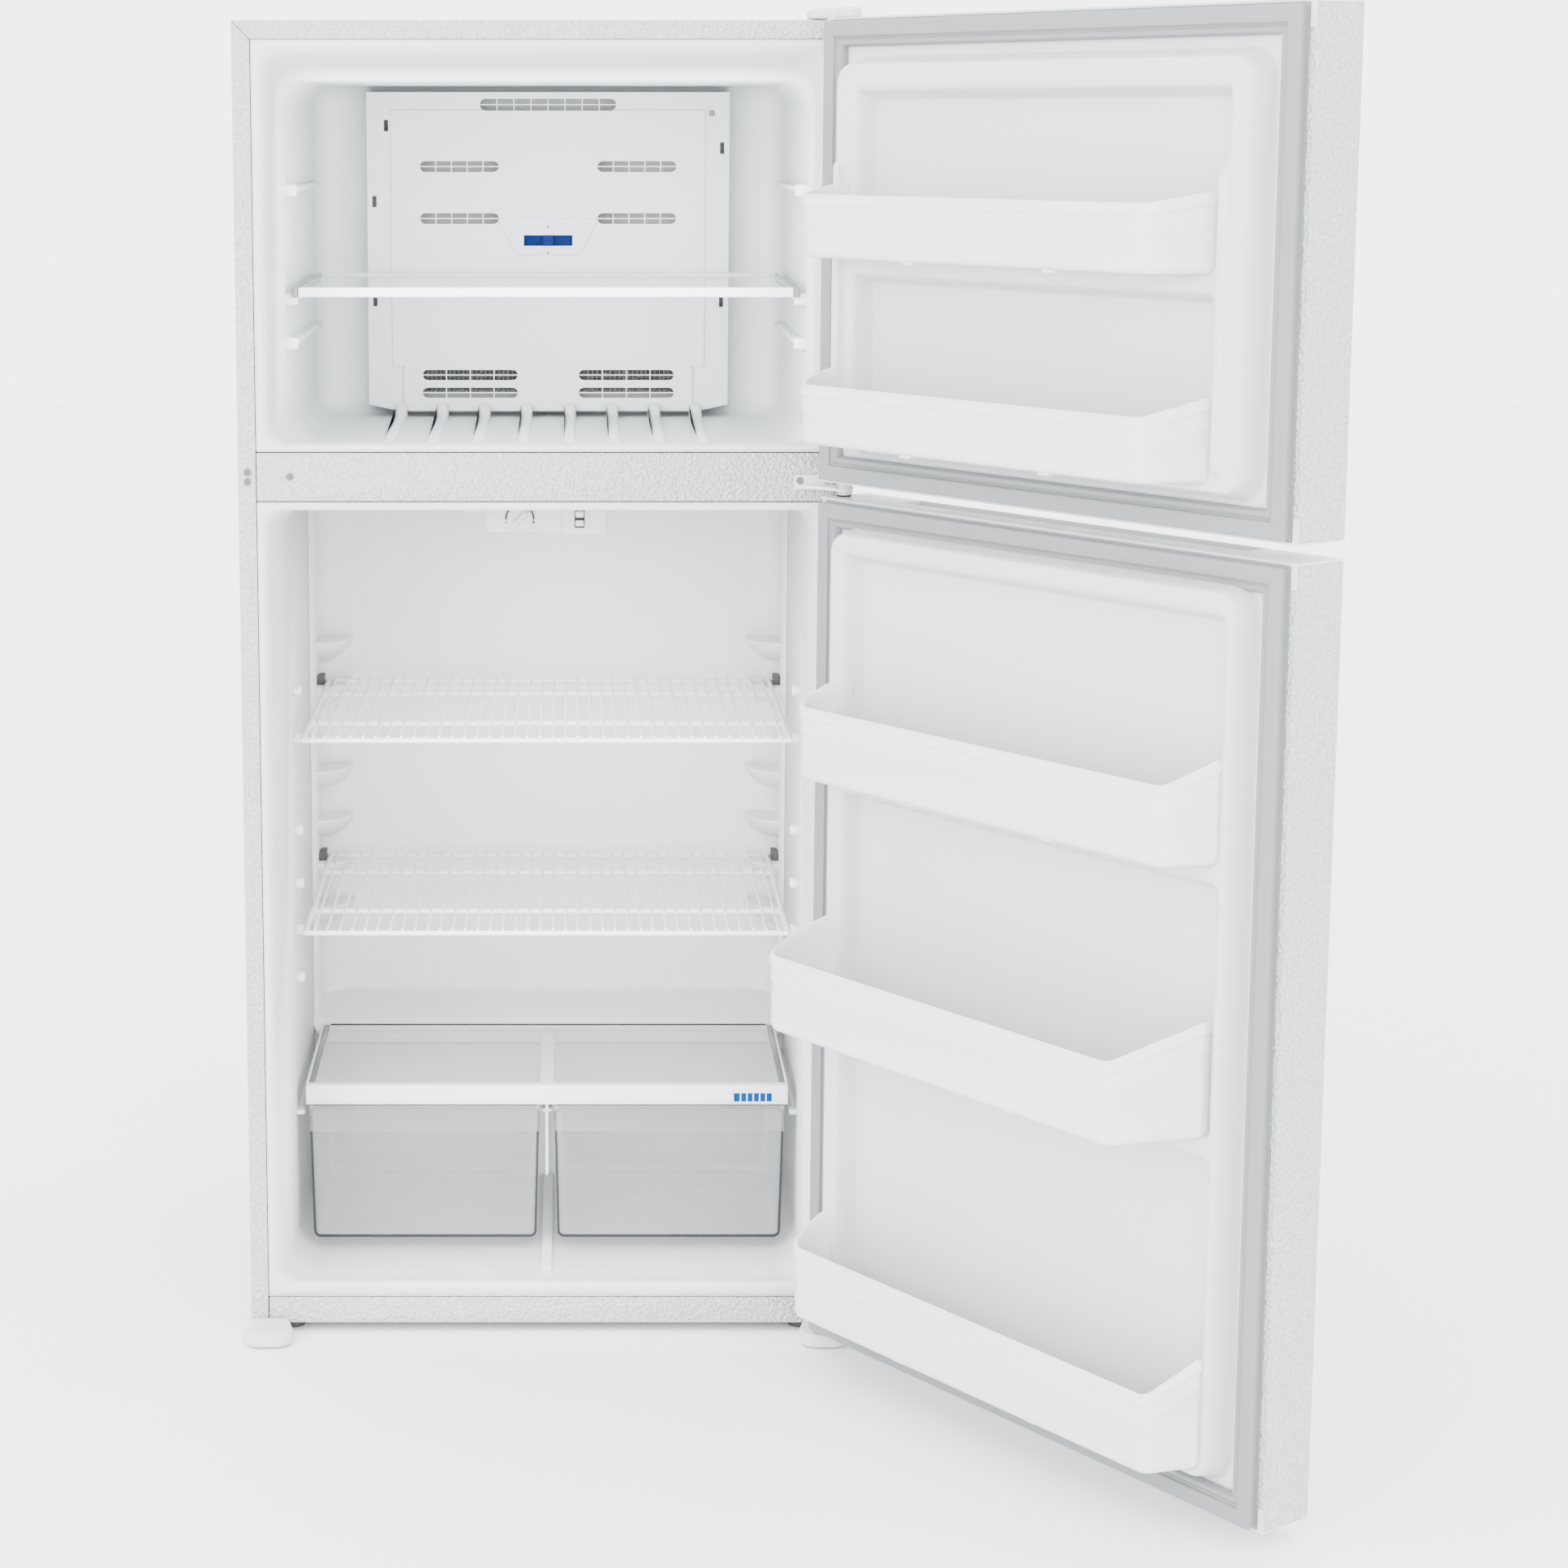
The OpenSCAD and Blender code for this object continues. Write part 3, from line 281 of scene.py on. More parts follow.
def arc(cx, cy, r, start, stop, steps):
    """Points of an arc, in degrees, both ends included."""
    return [
        (
            cx + r * math.cos(math.radians(start + (stop - start) * k / steps)),
            cy + r * math.sin(math.radians(start + (stop - start) * k / steps)),
        )
        for k in range(steps + 1)
    ]


def ellipse(cx, cy, rx, ry, sides):
    """Anticlockwise ellipse."""
    turns = np.linspace(0, 2 * math.pi, sides + 1)[:-1]
    return [(cx + rx * math.cos(t), cy + ry * math.sin(t)) for t in turns]


def area(outline):
    """Twice the signed area of an outline, above zero where it runs anticlockwise."""
    after = outline[1:] + outline[:1]
    return sum(ax * by - bx * ay for (ax, ay), (bx, by) in zip(outline, after))


def round_rect(x0, x1, y0, y1, r, steps=8):
    """Anticlockwise outline of a rectangle with round corners."""
    return (
        arc(x1 - r, y0 + r, r, -90, 0, steps)
        + arc(x1 - r, y1 - r, r, 0, 90, steps)
        + arc(x0 + r, y1 - r, r, 90, 180, steps)
        + arc(x0 + r, y0 + r, r, 180, 270, steps)
    )


def round_polygon(points, radii, steps=6):
    """Anticlockwise outline with each corner rounded to its own radius."""
    out = []
    n = len(points)
    for i in range(n):
        a, b, c = (Vector(points[(i + k) % n]) for k in (-1, 0, 1))
        into, away = (b - a).normalized(), (c - b).normalized()
        turn = math.atan2(into.x * away.y - into.y * away.x, into.dot(away))
        r = radii[i]
        if abs(turn) < 1e-3 or r <= 0:
            out.append(tuple(b))
            continue
        side = 1 if turn > 0 else -1
        left_in = Vector((-into.y, into.x)) * side
        left_out = Vector((-away.y, away.x)) * side
        centre = b + (left_in + left_out) * r / (1 + left_in.dot(left_out))
        start = math.atan2(-left_in.y, -left_in.x)
        for k in range(steps + 1):
            angle = start + turn * k / steps
            out.append((centre.x + r * math.cos(angle), centre.y + r * math.sin(angle)))
    return out


def shrink(outline, d):
    """Moves each point of a closed anticlockwise outline in by d along its normal."""
    p = np.array(outline, float)
    before, after = p - np.roll(p, 1, 0), np.roll(p, -1, 0) - p
    before /= np.maximum(np.linalg.norm(before, axis=1, keepdims=True), 1e-9)
    after /= np.maximum(np.linalg.norm(after, axis=1, keepdims=True), 1e-9)
    n1 = np.stack([-before[:, 1], before[:, 0]], 1)
    n2 = np.stack([-after[:, 1], after[:, 0]], 1)
    m = n1 + n2
    m /= np.maximum(1 + (n1 * n2).sum(1, keepdims=True), 0.2)
    return p + m * d


def add(name, verts, faces, look, body, door=False, replaces=(), smooth=40.0):
    """Makes a mesh piece from millimetre points and lets it ride on a body."""
    mesh = bpy.data.meshes.new(name)
    mesh.from_pydata([Vector(v) * MM for v in verts], [], faces)
    mesh.validate()
    if door:
        turn = door_turn.copy()
        turn.translation *= MM
        mesh.transform(turn)
    mesh.update()
    mesh.polygons.foreach_set("use_smooth", [True] * len(mesh.polygons))
    mesh.set_sharp_from_angle(angle=math.radians(smooth))
    mesh.materials.append(look)
    o = bpy.data.objects.new(name, mesh)
    bpy.context.scene.collection.objects.link(o)
    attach(o, body)
    if replaces:
        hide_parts(*replaces)
    return o


def loft(rings, cap_first=True, cap_last=True, wrap=False):
    """Joins closed rings of equal length. Returns points and faces."""
    n = len(rings[0])
    verts = [tuple(p) for ring in rings for p in ring]
    faces = []
    last = len(rings) if wrap else len(rings) - 1
    for k in range(last):
        a, b = k * n, ((k + 1) % len(rings)) * n
        for i in range(n):
            j = (i + 1) % n
            faces.append((a + i, a + j, b + j, b + i))
    if cap_first and not wrap:
        faces.append(tuple(range(n - 1, -1, -1)))
    if cap_last and not wrap:
        faces.append(tuple(range((len(rings) - 1) * n, len(rings) * n)))
    return verts, faces


def merged(*parts):
    """Several (points, faces) as one."""
    verts, faces = [], []
    for v, f in parts:
        base = len(verts)
        verts += list(v)
        faces += [tuple(base + i for i in face) for face in f]
    return verts, faces


def slab(outline, lo, hi, bevel=1.0, to=lambda a, b, c: (a, b, c), steps=2):
    """An outline made solid from lo to hi, with its edges rounded. to() places (a, b, height)."""
    rings = []
    for k in range(steps + 1):
        t = math.pi / 2 * k / steps
        inset, rise = bevel * (1 - math.sin(t)), bevel * (1 - math.cos(t))
        rings.append([to(a, b, lo + rise) for a, b in shrink(outline, inset)])
    for k in range(steps + 1):
        t = math.pi / 2 * k / steps
        inset, rise = bevel * (1 - math.cos(t)), bevel * (1 - math.sin(t))
        rings.append([to(a, b, hi - rise) for a, b in shrink(outline, inset)])
    verts, faces = loft(rings)
    if to is from_front:
        faces = [face[::-1] for face in faces]
    return verts, faces


def from_front(a, b, c):
    """Outline in X and Z, height towards the back."""
    return (a, c, b)


def from_side(a, b, c):
    """Outline in Y and Z, height along X."""
    return (c, a, b)


def block(lo, hi, bevel=1.0, corner=None, steps=2):
    """Box with every edge rounded, its outline seen from the front."""
    r = max(corner or bevel, bevel + 0.05)
    return slab(round_rect(lo[0], hi[0], lo[2], hi[2], r, 4), lo[1], hi[1], bevel, from_front, steps)


def tube(path, r, sides=12):
    """Round bar along a list of points."""
    pts = [Vector(p) for p in path]
    rings = []
    for i, p in enumerate(pts):
        d = (pts[min(i + 1, len(pts) - 1)] - pts[max(i - 1, 0)]).normalized()
        side = d.cross(Vector((0, 0, 1)))
        if side.length < 0.1:
            side = d.cross(Vector((0, 1, 0)))
        side.normalize()
        up = d.cross(side)
        rings.append(
            [
                p + (side * math.cos(2 * math.pi * k / sides) + up * math.sin(2 * math.pi * k / sides)) * r
                for k in range(sides)
            ]
        )
    return loft(rings)


def thicken(o, amount):
    """Turns a moulded sheet into a closed shell, with its visible face kept in place."""
    m = o.modifiers.new("thickness", "SOLIDIFY")
    m.thickness = amount * MM
    m.offset = -1.0
    m.use_even_offset = False


# ---- Cabinet ----


def cabinet_shell():
    """Wrapped steel: two sides and a top, each folded round to a front flange, mitred at the corners."""
    r, skin, mitre = 3.0, 1.0, 0.6
    edge = HALF - FLANGE
    front = [(edge, 0.0), (HALF - r, 0.0)] + arc(HALF - r, r, r, -90, 0, 5)[1:] + [(HALF, DEPTH)]
    back = [(HALF - skin, DEPTH)] + arc(HALF - r, r, r - skin, 0, -90, 5) + [(edge, skin)]
    profile = front + back
    parts = []
    for s in (-1, 1):
        low = [(s * x, y, RAIL[0]) for x, y in profile]
        high = [(s * x, y, TOP - min(max(HALF - x, 0.0), FLANGE) - mitre * (y < 5)) for x, y in profile]
        parts.append(loft([high, low] if s < 0 else [low, high]))
    left = [(-x + mitre * (y < 5), y, TOP - HALF + x) for x, y in profile]
    right = [(x - mitre * (y < 5), y, TOP - HALF + x) for x, y in profile]
    parts.append(loft([right, left]))
    v, f = merged(*parts)
    add("cabinet_shell", v, f, STEEL, "cabinet", replaces=["outer_wrapper"])
    for name, (lo, hi) in {"mullion_rail": MULLION, "bottom_rail": RAIL}.items():
        v, f = block((-edge + 1.2, 0.0, lo + 0.5), (edge - 1.2, 11.0, hi - 0.5), 0.8)
        add(name + "_face", v, f, STEEL, "cabinet", replaces=[name])


def freezer_liner():
    """Bevelled mouth and room of the freezer, its shelf runners and the ribs on its floor."""
    edge = HALF - FLANGE - 1.1
    lo, hi = MULLION[1], TOP - FLANGE
    sections = [
        (0.4, edge, lo + 0.9, hi - 0.9, 2),
        (0.4, 350, lo + 6, hi - 8, 14),
        (1.5, 346, lo + 8.5, hi - 14, 20),
        (6, 342.5, lo + 10.5, hi - 18, 24),
        (20, 337.5, lo + 11, hi - 24, 26),
        (40, 333, lo + 8, hi - 34, 28),
        (58, 331.2, lo - 3, hi - 46, 30),
        (68, BAY, lo - 8, hi - 50, 30),
        (560, BAY - 1, lo - 8, hi - 50, 30),
        (610, BAY - 1.5, lo - 7.5, hi - 50.5, 30),
        (624, BAY - 5, lo - 4, hi - 54, 28),
        (633, BAY - 13, lo + 4, hi - 62, 22),
        (637.5, BAY - 26, lo + 17, hi - 75, 14),
    ]
    rings = [[(x, y, z) for x, z in round_rect(-w, w, z0, z1, r, 10)] for y, w, z0, z1, r in sections]
    v, f = loft(rings, cap_first=False)
    o = add("freezer_liner_shell", v, f, LINER, "cabinet", replaces=["freezer_liner"])
    thicken(o, 2.0)
    parts = []
    for s in (-1, 1):
        for z in (1462.0, 1324.5, 1268.0):
            shape = [(150, z - 7), (576, z - 7), (576, z), (150, z), (146, z - 3)]
            shape = round_polygon(shape, [2, 2, 1.5, 3, 2], 3)
            x0, x1 = BAY - 13, BAY + 1
            parts.append(slab(shape, min(s * x0, s * x1), max(s * x0, s * x1), 1.8, from_side))
            stop = round_rect(146, 160, z - 11, z + 4, 3, 3)
            parts.append(slab(stop, min(s * (BAY - 15), s * x1), max(s * (BAY - 15), s * x1), 2.5, from_side))
    # Ribs along the floor that rise in front of the evaporator cover
    ridge = [(140, 1117), (575, 1117), (575, 1152), (548, 1153), (520, 1141), (470, 1137), (146, 1135)]
    ridge = round_polygon(ridge, [1, 1, 2, 12, 14, 20, 3], 5)
    for x in (30.5, 89.5, 148.5, 206.5):
        for s in (-1, 1):
            parts.append(slab(ridge, s * x - 8, s * x + 8, 5.5, from_side, 4))
    v, f = merged(*parts)
    add("freezer_runners", v, f, LINER, "cabinet")


def corner_support(s, z):
    """Rounded bracket in a back corner, on side s, for a shelf at height z."""
    corner = Vector((s * (BAY + 1), 622))
    turns = np.linspace(0, math.pi / 2, 9)
    outline = [(corner.x, 620)]
    outline += [(corner.x - s * 50 * math.cos(t), corner.y - 78 * math.sin(t)) for t in turns]
    if s > 0:
        outline = outline[::-1]
    if area(outline) < 0:
        outline = outline[::-1]
    rings = []
    for reach, dz in SUPPORT_STEPS:
        across = [(corner.x + (x - corner.x) * reach, corner.y + (y - corner.y) * reach) for x, y in outline]
        rings.append([(x, y, z - 7 + dz) for x, y in across])
    return loft(rings)


def fridge_liner():
    """Bevelled mouth and room of the refrigerator, with the raised floor and shelf supports."""
    edge = HALF - FLANGE - 1.1
    lo, hi = RAIL[1] + 0.9, MULLION[0] - 0.9
    sections = [
        (0.4, edge, lo, hi, 2),
        (0.4, 352, lo + 12, hi - 7, 16),
        (2, 348.5, lo + 16, hi - 9.5, 22),
        (8, 344, lo + 18, hi - 11, 25),
        (16, 341, lo + 16.5, hi - 12, 27),
        (30, 336, lo + 14, hi - 12, 28),
        (46, 332, lo + 13, hi - 12, 29),
        (60, BAY, lo + 12.8, hi - 12, 30),
        (446, BAY, lo + 12.8, hi - 12, 30),
    ]
    rings = [[(x, y, z) for x, z in round_rect(-w, w, z0, z1, r, 10)] for y, w, z0, z1, r in sections]
    v, f = loft(rings, cap_first=False, cap_last=False)
    name = "fridge_liner_shell"
    front = add(name, v, f, FRIDGE_LINER, "cabinet", replaces=["fridge_liner"])
    thicken(front, 2.0)
    sections = [
        (440, BAY, 262, hi - 12, 30),
        (588, BAY, 262, hi - 12, 30),
        (604, BAY - 4, 266, hi - 16, 30),
        (614, BAY - 13, 275, hi - 25, 28),
        (619.5, BAY - 27, 289, hi - 39, 24),
    ]
    rings = [[(x, y, z) for x, z in round_rect(-w, w, z0, z1, r, 10)] for y, w, z0, z1, r in sections]
    v, f = loft(rings, cap_first=False)
    back = add("fridge_liner_back", v, f, FLUTED, "cabinet")
    thicken(back, 2.0)
    # Raised back of the floor, over the machine compartment
    step = [(450, 58), (624, 58), (624, 300)] + arc(608, 302, 15, 0, -90, 5) + arc(470, 267, 20, 90, 180, 6)
    v, f = slab(step, -BAY - 1.5, BAY + 1.5, 0.5, from_side)
    add("machine_hump", v, f, FRIDGE_LINER, "cabinet")
    parts = []
    for z in (821.0, 757.0, 635.0, 563.0, 500.0, 436.0):
        for s in (-1, 1):
            parts.append(corner_support(s, z))
            knob = ellipse(170, z - 9, 10, 7, 14)
            x0, x1 = sorted((s * (BAY - 11), s * (BAY + 1)))
            parts.append(slab(knob, x0, x1, 3.0, from_side, 3))
    for s in (-1, 1):
        rail = round_rect(150, 440, 243, 250, 3, 3)
        x0, x1 = sorted((s * (BAY - 10), s * (BAY + 1)))
        parts.append(slab(rail, x0, x1, 1.8, from_side))
    # Centre rib between two shallow floor panels
    rib = round_rect(-7, 7, 58, 66, 3, 3)
    parts.append(slab(rib, 60, 448, 2.5, from_front))
    v, f = merged(*parts)
    add("fridge_supports", v, f, FRIDGE_LINER, "cabinet")


def foot_covers():
    """Rounded covers over the two front feet."""
    plan = [(-32, -64), (32, -64), (32, -38), (23.5, -1), (-23.5, -1), (-32, -38)]
    parts = []
    for x in (-356.0, 356.0):
        outline = [(x + a, b) for a, b in round_polygon(plan, [22, 22, 12, 4, 4, 12], 8)]
        parts.append(slab(outline, 2, 20, 4.0, steps=4))
    v, f = merged(*parts)
    add("foot_cover_mouldings", v, f, WHITE, "cabinet", replaces=["foot_covers"])


def hinge_cover():
    """Cover over the top hinge, reaching out over the door's pivot."""
    plan = [(353, -53.5), (380.5, -53.5), (380.5, 90), (323, 90), (323, 1), (353, 1)]
    outline = round_polygon(plan, [13, 13, 12, 12, 10, 8], 8)
    v, f = slab(outline, TOP + 1.2, 1680, 3.5, steps=4)
    add("hinge_cover_moulding", v, f, WHITE, "cabinet", replaces=["top_hinge_cover"])


def center_hinge_collar():
    """Dark bush and washer round the pin between the two doors."""
    parts = []
    for r, lo, hi in ((6.5, 1101.2, 1108.6), (8.5, 1090.6, 1092.2)):
        parts.append(slab(ellipse(PIN[0], PIN[1], r, r, 32), lo, hi, 0.5))
    v, f = merged(*parts)
    add("center_hinge_bush", v, f, DARK, "cabinet")


def freezer_shelf():
    """White bar along the glass shelf's front, a plain one behind, and clear side trims with end clips."""
    z, y0, y1, half = 1330.0, 138.0, 573.0, 323.0
    front = block((-half + 8, y0 - 2, z - 6), (half - 8, y0 + 8, z + 6.5), 2.5, steps=3)
    rear = tube([(-half + 9, y1 - 3, z + 2), (half - 9, y1 - 3, z + 2)], 3.6)
    v, f = merged(front, rear)
    add("freezer_shelf_bars", v, f, WHITE, "cabinet", replaces=["freezer_shelf_trim"])
    parts = []
    for s in (-1, 1):
        x0, x1 = sorted((s * (half - 7.5), s * half))
        parts.append(block((x0, y0 - 2, z - 6.5), (x1, y0 + 14, z + 7), 1.8))
        parts.append(block((x0 + 1, y0 + 14, z - 2), (x1 - 1, y1, z + 5.5), 1.2))
    v, f = merged(*parts)
    add("freezer_shelf_sides", v, f, SMOKE, "cabinet")


def evaporator():
    """Finned coil seen darkly through the vents of its cover, its fins coloured dark as painted shade."""
    y, low = 609.5, 1140.0
    parts = []
    for k in range(61):
        x = -190 + 6.3 * k
        parts.append(block((x, y - 15.5, low + 25), (x + 1.1, y + 15.5, low + 205), 0.2))
    for k in range(6):
        z = low + 40 + 30 * k
        parts.append(tube([(-205, y, z), (205, y, z)], 4.0, 10))
        if k < 5:
            s = 1 if k % 2 else -1
            turns = np.linspace(0, math.pi, 9)
            bend = [(-s * (205 + 15 * math.sin(t)), y, z + 15 - 15 * math.cos(t)) for t in turns]
            parts.append(tube(bend, 4.0, 10))
    v, f = merged(*parts)
    add("finned_coil", v, f, ALU_WITH_PAINTED_SHADE, "cabinet", replaces=["evaporator_coil"])


def disc(cx, y0, y1, cz, r, bevel, sides=40):
    """Flat round piece that faces the front."""
    return slab(ellipse(cx, cz, r, r, sides), y0, y1, bevel, from_front, 3)


def arc_band(cx, cz, r0, r1, start, stop, y0, y1):
    """Part of a flat ring that faces the front."""
    outline = arc(cx, cz, r1, start, stop, 16) + arc(cx, cz, r0, stop, start, 16)
    return slab(outline, y0, y1, 0.1, from_front, 1)


def controls():
    """Housing under the fridge ceiling, with the dial and its scale, the light switch and its frame, and dark
    strips of painted shade for its slots and the gap round the switch.
    """
    y, z, dial, switch = 150.0, 1040.0, -34.0, 43.0
    left = block((-79, y, 1021), (22, y + 120, 1066), 3.0, 5.0, 3)
    right = block((20, y - 4, 1019), (79, y + 120, 1066), 3.0, 5.0, 3)
    rear = block((-79, y + 110, 1019.5), (79, y + 250, 1066), 2.0, 4.0, 3)
    plate = block((switch - 13, y - 5.2, z - 14.5), (switch + 13, y, z + 15), 0.9, 2.0)
    v, f = merged(left, right, rear, plate)
    add("control_case", v, f, WHITE, "cabinet", replaces=["control_housing"])
    # Painted shade: dark strips under the housing for its slots.
    slots = []
    for k in range(6):
        x = -50 + 20 * k
        slots.append(block((x, y + 135, 1018.9), (x + 8, y + 225, 1020), 0.3, 2.0))
    # Painted shade: a dark plate behind the rocker shows as the gap round it.
    rim = round_rect(switch - 6.6, switch + 6.6, z - 11.6, z + 11.6, 1.5)
    rim = slab(rim, y - 5.5, y - 4.8, 0.2, from_front, 1)
    scale = [
        arc_band(dial, z, 17.0, 18.8, 100, 185, y - 0.6, y + 1),
        arc_band(dial, z, 17.0, 18.8, -5, 80, y - 0.6, y + 1),
        disc(dial + 17.9, y - 0.6, y + 1, z - 5, 1.3, 0.2, 16),
        disc(dial - 17.9, y - 0.6, y + 1, z - 5, 0.9, 0.2, 16),
    ]
    v, f = merged(rim, *scale, *slots)
    add("control_print_and_shade", v, f, INK_AND_SHADE, "cabinet")
    grip = slab(round_rect(-14, 14, -3.4, 3.4, 3.2), y - 15, y - 9, 2.2, from_front, 3)
    turn = Matrix.Rotation(math.radians(-45), 3, "Y")
    shift = Vector((dial, 0, z))
    grip = ([tuple(turn @ Vector(p) + shift) for p in grip[0]], grip[1])
    v, f = merged(disc(dial, y - 10, y - 0.5, z, 16, 1.6), grip)
    add("dial_moulding", v, f, WHITE, "temperature_dial", replaces=["temperature_dial"])
    rocker = [(y - 7, z + 9.8), (y - 5.2, z), (y - 6.6, z - 9.8), (y + 4, z - 9.8), (y + 4, z + 9.8)]
    rocker = round_polygon(rocker, [1.2, 8, 1.2, 1, 1], 4)
    v, f = slab(rocker, switch - 5.4, switch + 5.4, 0.7, from_side)
    add("switch_rocker", v, f, WHITE, "light_switch", replaces=["light_switch"])
    wing = round_polygon([(-122, 1050), (122, 1050), (150, 1069), (-150, 1069)], [8, 8, 2, 2], 4)
    step = round_polygon([(-104, 1037), (104, 1037), (122, 1052), (-122, 1052)], [8, 8, 2, 2], 4)
    v, f = merged(slab(wing, y + 35, y + 262, 3.0, from_front), slab(step, y + 80, y + 256, 3.0, from_front))
    add("ceiling_step", v, f, FRIDGE_LINER, "cabinet")


def crisper_cover():
    """White frame of the crisper cover, its humidity window and slider, and its grey glass edges."""
    y0, y1, z0, z1, half = 140.0, 448.0, 260.0, 287.0, 319.0
    parts = [
        block((-half, y0, z0), (half, y0 + 15, z1), 2.2, 3.0, 3),
        block((-half, y0 + 4, z0 - 1), (half, y0 + 17, z0 + 9), 1.0),
        block((-half, y1 - 12, z1 - 10), (half, y1, z1 - 0.5), 1.0),
        block((-9, y0 + 12, z1 - 10), (9, y1 - 10, z1 - 5.9), 0.8),
        block((-6.5, y0 + 10, 248.2), (6.5, y1 - 10, 251), 0.8),
    ]
    for s in (-1, 1):
        x0, x1 = sorted((s * (half - 11), s * half))
        parts.append(block((x0, y0 + 12, z1 - 10), (x1, y1 - 8, z1 - 6), 0.8))
        x0, x1 = sorted((s * (half - 3), s * half))
        parts.append(block((x0, y0 + 12, z1 - 8), (x1, y1 - 8, z1), 0.8))
    post = [(y0 + 10, 159), (y0 + 40, 157), (y1 - 40, 200), (y1 - 12, 279), (y0 + 10, 279)]
    parts.append(slab(round_polygon(post, [6, 8, 8, 2, 2], 4), -2, 2, 0.8, from_side))
    blank = slab(round_rect(-296, -239, 265, 276, 1.5), y0 - 0.7, y0 + 1, 0.3, from_front, 1)
    v, f = merged(*parts, blank)
    name = "crisper_cover_moulding"
    add(name, v, f, WHITE, "cabinet", replaces=["crisper_cover_frame"])
    v, f = slab(round_rect(247, 297.5, 265, 276.5, 0.8), y0 - 0.8, y0 + 1, 0.2, from_front, 1)
    add("humidity_window", v, f, SKY_BLUE, "cabinet")
    ticks = [block((255.2 + 8.4 * k, y0 - 1.3, 265.2), (257.0 + 8.4 * k, y0, 276.3), 0.2) for k in range(5)]
    frame_bar = slab(round_rect(235.5, 299, 263.4, 278, 1.5), y0 - 0.5, y0 + 1, 0.2, from_front, 1)
    v, f = merged(frame_bar, *ticks)
    add("humidity_ticks", v, f, WHITE, "cabinet")
    v, f = block((238.2, y0 - 5.5, 265.5), (247.2, y0 - 1.5, 276), 1.2, 1.5)
    add("humidity_knob", v, f, WHITE, "humidity_slider", replaces=["humidity_slider"])
    # Painted shade: a dark strip along the seam at the back of the cover.
    v, f = block((-half + 12, y1 - 13.5, z1 - 1.6), (half - 12, y1 - 11.5, z1 + 0.2), 0.3)
    add("crisper_cover_back_shade_line", v, f, DARK_EDGE_SHADE, "cabinet")
    for s in (-1, 1):
        x0, x1 = sorted((s * (half - 11), s * (half - 3.4)))
        v, f = block((x0, y0 + 15.5, z1 - 5.5), (x1, y1 - 12.5, z1 - 0.8), 0.8)
        name = "crisper_cover_edge_" + ("left" if s < 0 else "right")
        add(name, v, f, SMOKE, "cabinet")


def crisper(node, x0, x1):
    """Clear drawer with drafted walls, rounded corners, a folded pull lip and slide rims, and a dark outline
    of painted shade round its front and top.
    """
    y0, y1, z0, z1, wall = 141.0, 441.0, 75.0, 259.0, 2.3
    outside = ((19, z0, 10), (10, z0 + 0.6, 16), (6, z0 + 3.5, 18), (4.6, z0 + 9, 18), (0, z1, 12))
    inside = ((0, z1, 10), (4.6, z0 + 10, 16), (6, z0 + 5.5, 15), (10, z0 + 3, 14), (19, z0 + wall, 8))
    rings = []
    for inset, z, r in outside:
        ring = round_rect(x0 + inset, x1 - inset, y0 + inset * 0.5, y1 - inset, r, 8)
        rings.append([(a, b, z) for a, b in ring])
    for inset, z, r in inside:
        inset += wall
        ring = round_rect(x0 + inset, x1 - inset, y0 + inset * 0.5 + wall, y1 - inset, r, 8)
        rings.append([(a, b, z) for a, b in ring])
    lip = [(y0 - 9, 227), (y0 - 6.5, 226), (y0 - 6.2, 256), (y0 + 2, 256)]
    lip += [(y0 + 2, z1 + 0.2), (y0 - 9, z1 + 0.2)]
    lip = round_polygon(lip, [1, 1, 2, 0.5, 1, 3], 3)
    parts = [loft(rings), slab(lip, x0 + 3, x1 - 3, 0.8, from_side)]
    side = -1 if x0 < 0 else 1
    for a, b in ((314.5, 325), (3.5, 10)):
        c, d = sorted((side * a, side * b))
        parts.append(block((c, y0 + 20, 251.4), (d, y1 - 20, 254), 0.7))
    for k in range(5):
        z = z0 + wall + 0.6
        y = y0 + 70 + 50 * k
        parts.append(block((x0 + 45, y, z), (x1 - 45, y + 3, z + 2.4), 0.8))
    v, f = merged(*parts)
    add(node + "_moulding", v, f, CLEAR, node, replaces=[node])
    # Painted shade: an opaque dark ring round the drawer front and along its top rim stands in for the dark
    # edges the clear drawer shows.
    outline = round_rect(x0 + 1.5, x1 - 1.5, z0 + 2, z1 - 2, 9)
    taper, lean = 4.5 / (z1 - z0), 2.2 / (z1 - z0)
    middle = (x0 + x1) / 2
    outer = [(a + (1 if a < middle else -1) * taper * (z1 - b), b) for a, b in outline]
    inner = shrink(outer, 3.2)
    loops = []
    for ring, y in ((outer, y0 - 0.8), (inner, y0 - 0.8), (inner, y0 + 1.2), (outer, y0 + 1.2)):
        loops.append([(a, y + lean * (z1 - b), b) for a, b in ring])
    top = round_rect(x0 + 0.4, x1 - 0.4, y0 + 0.4, y1 - 0.4, 12, 8)
    bands = [(top, z1 + 0.3), (shrink(top, 2.2), z1 + 0.3), (shrink(top, 2.2), z1 - 2.4), (top, z1 - 2.4)]
    rim = [[(a, b, z) for a, b in ring] for ring, z in bands]
    v, f = merged(loft(loops, wrap=True), loft(rim, wrap=True))
    add(node + "_edge", v, f, DARK_EDGE_SHADE, node)


def hump_slot_shades():
    """Two grey strips on the upright face behind the drawers, painted shade for two narrow slots."""
    v, f = merged(*[block((x - 14, 449.2, 256), (x + 14, 451, 260), 0.4, 1.5) for x in (-75, 65)])
    add("hump_slot_shades", v, f, GREY_AND_SLOT_SHADE, "cabinet")


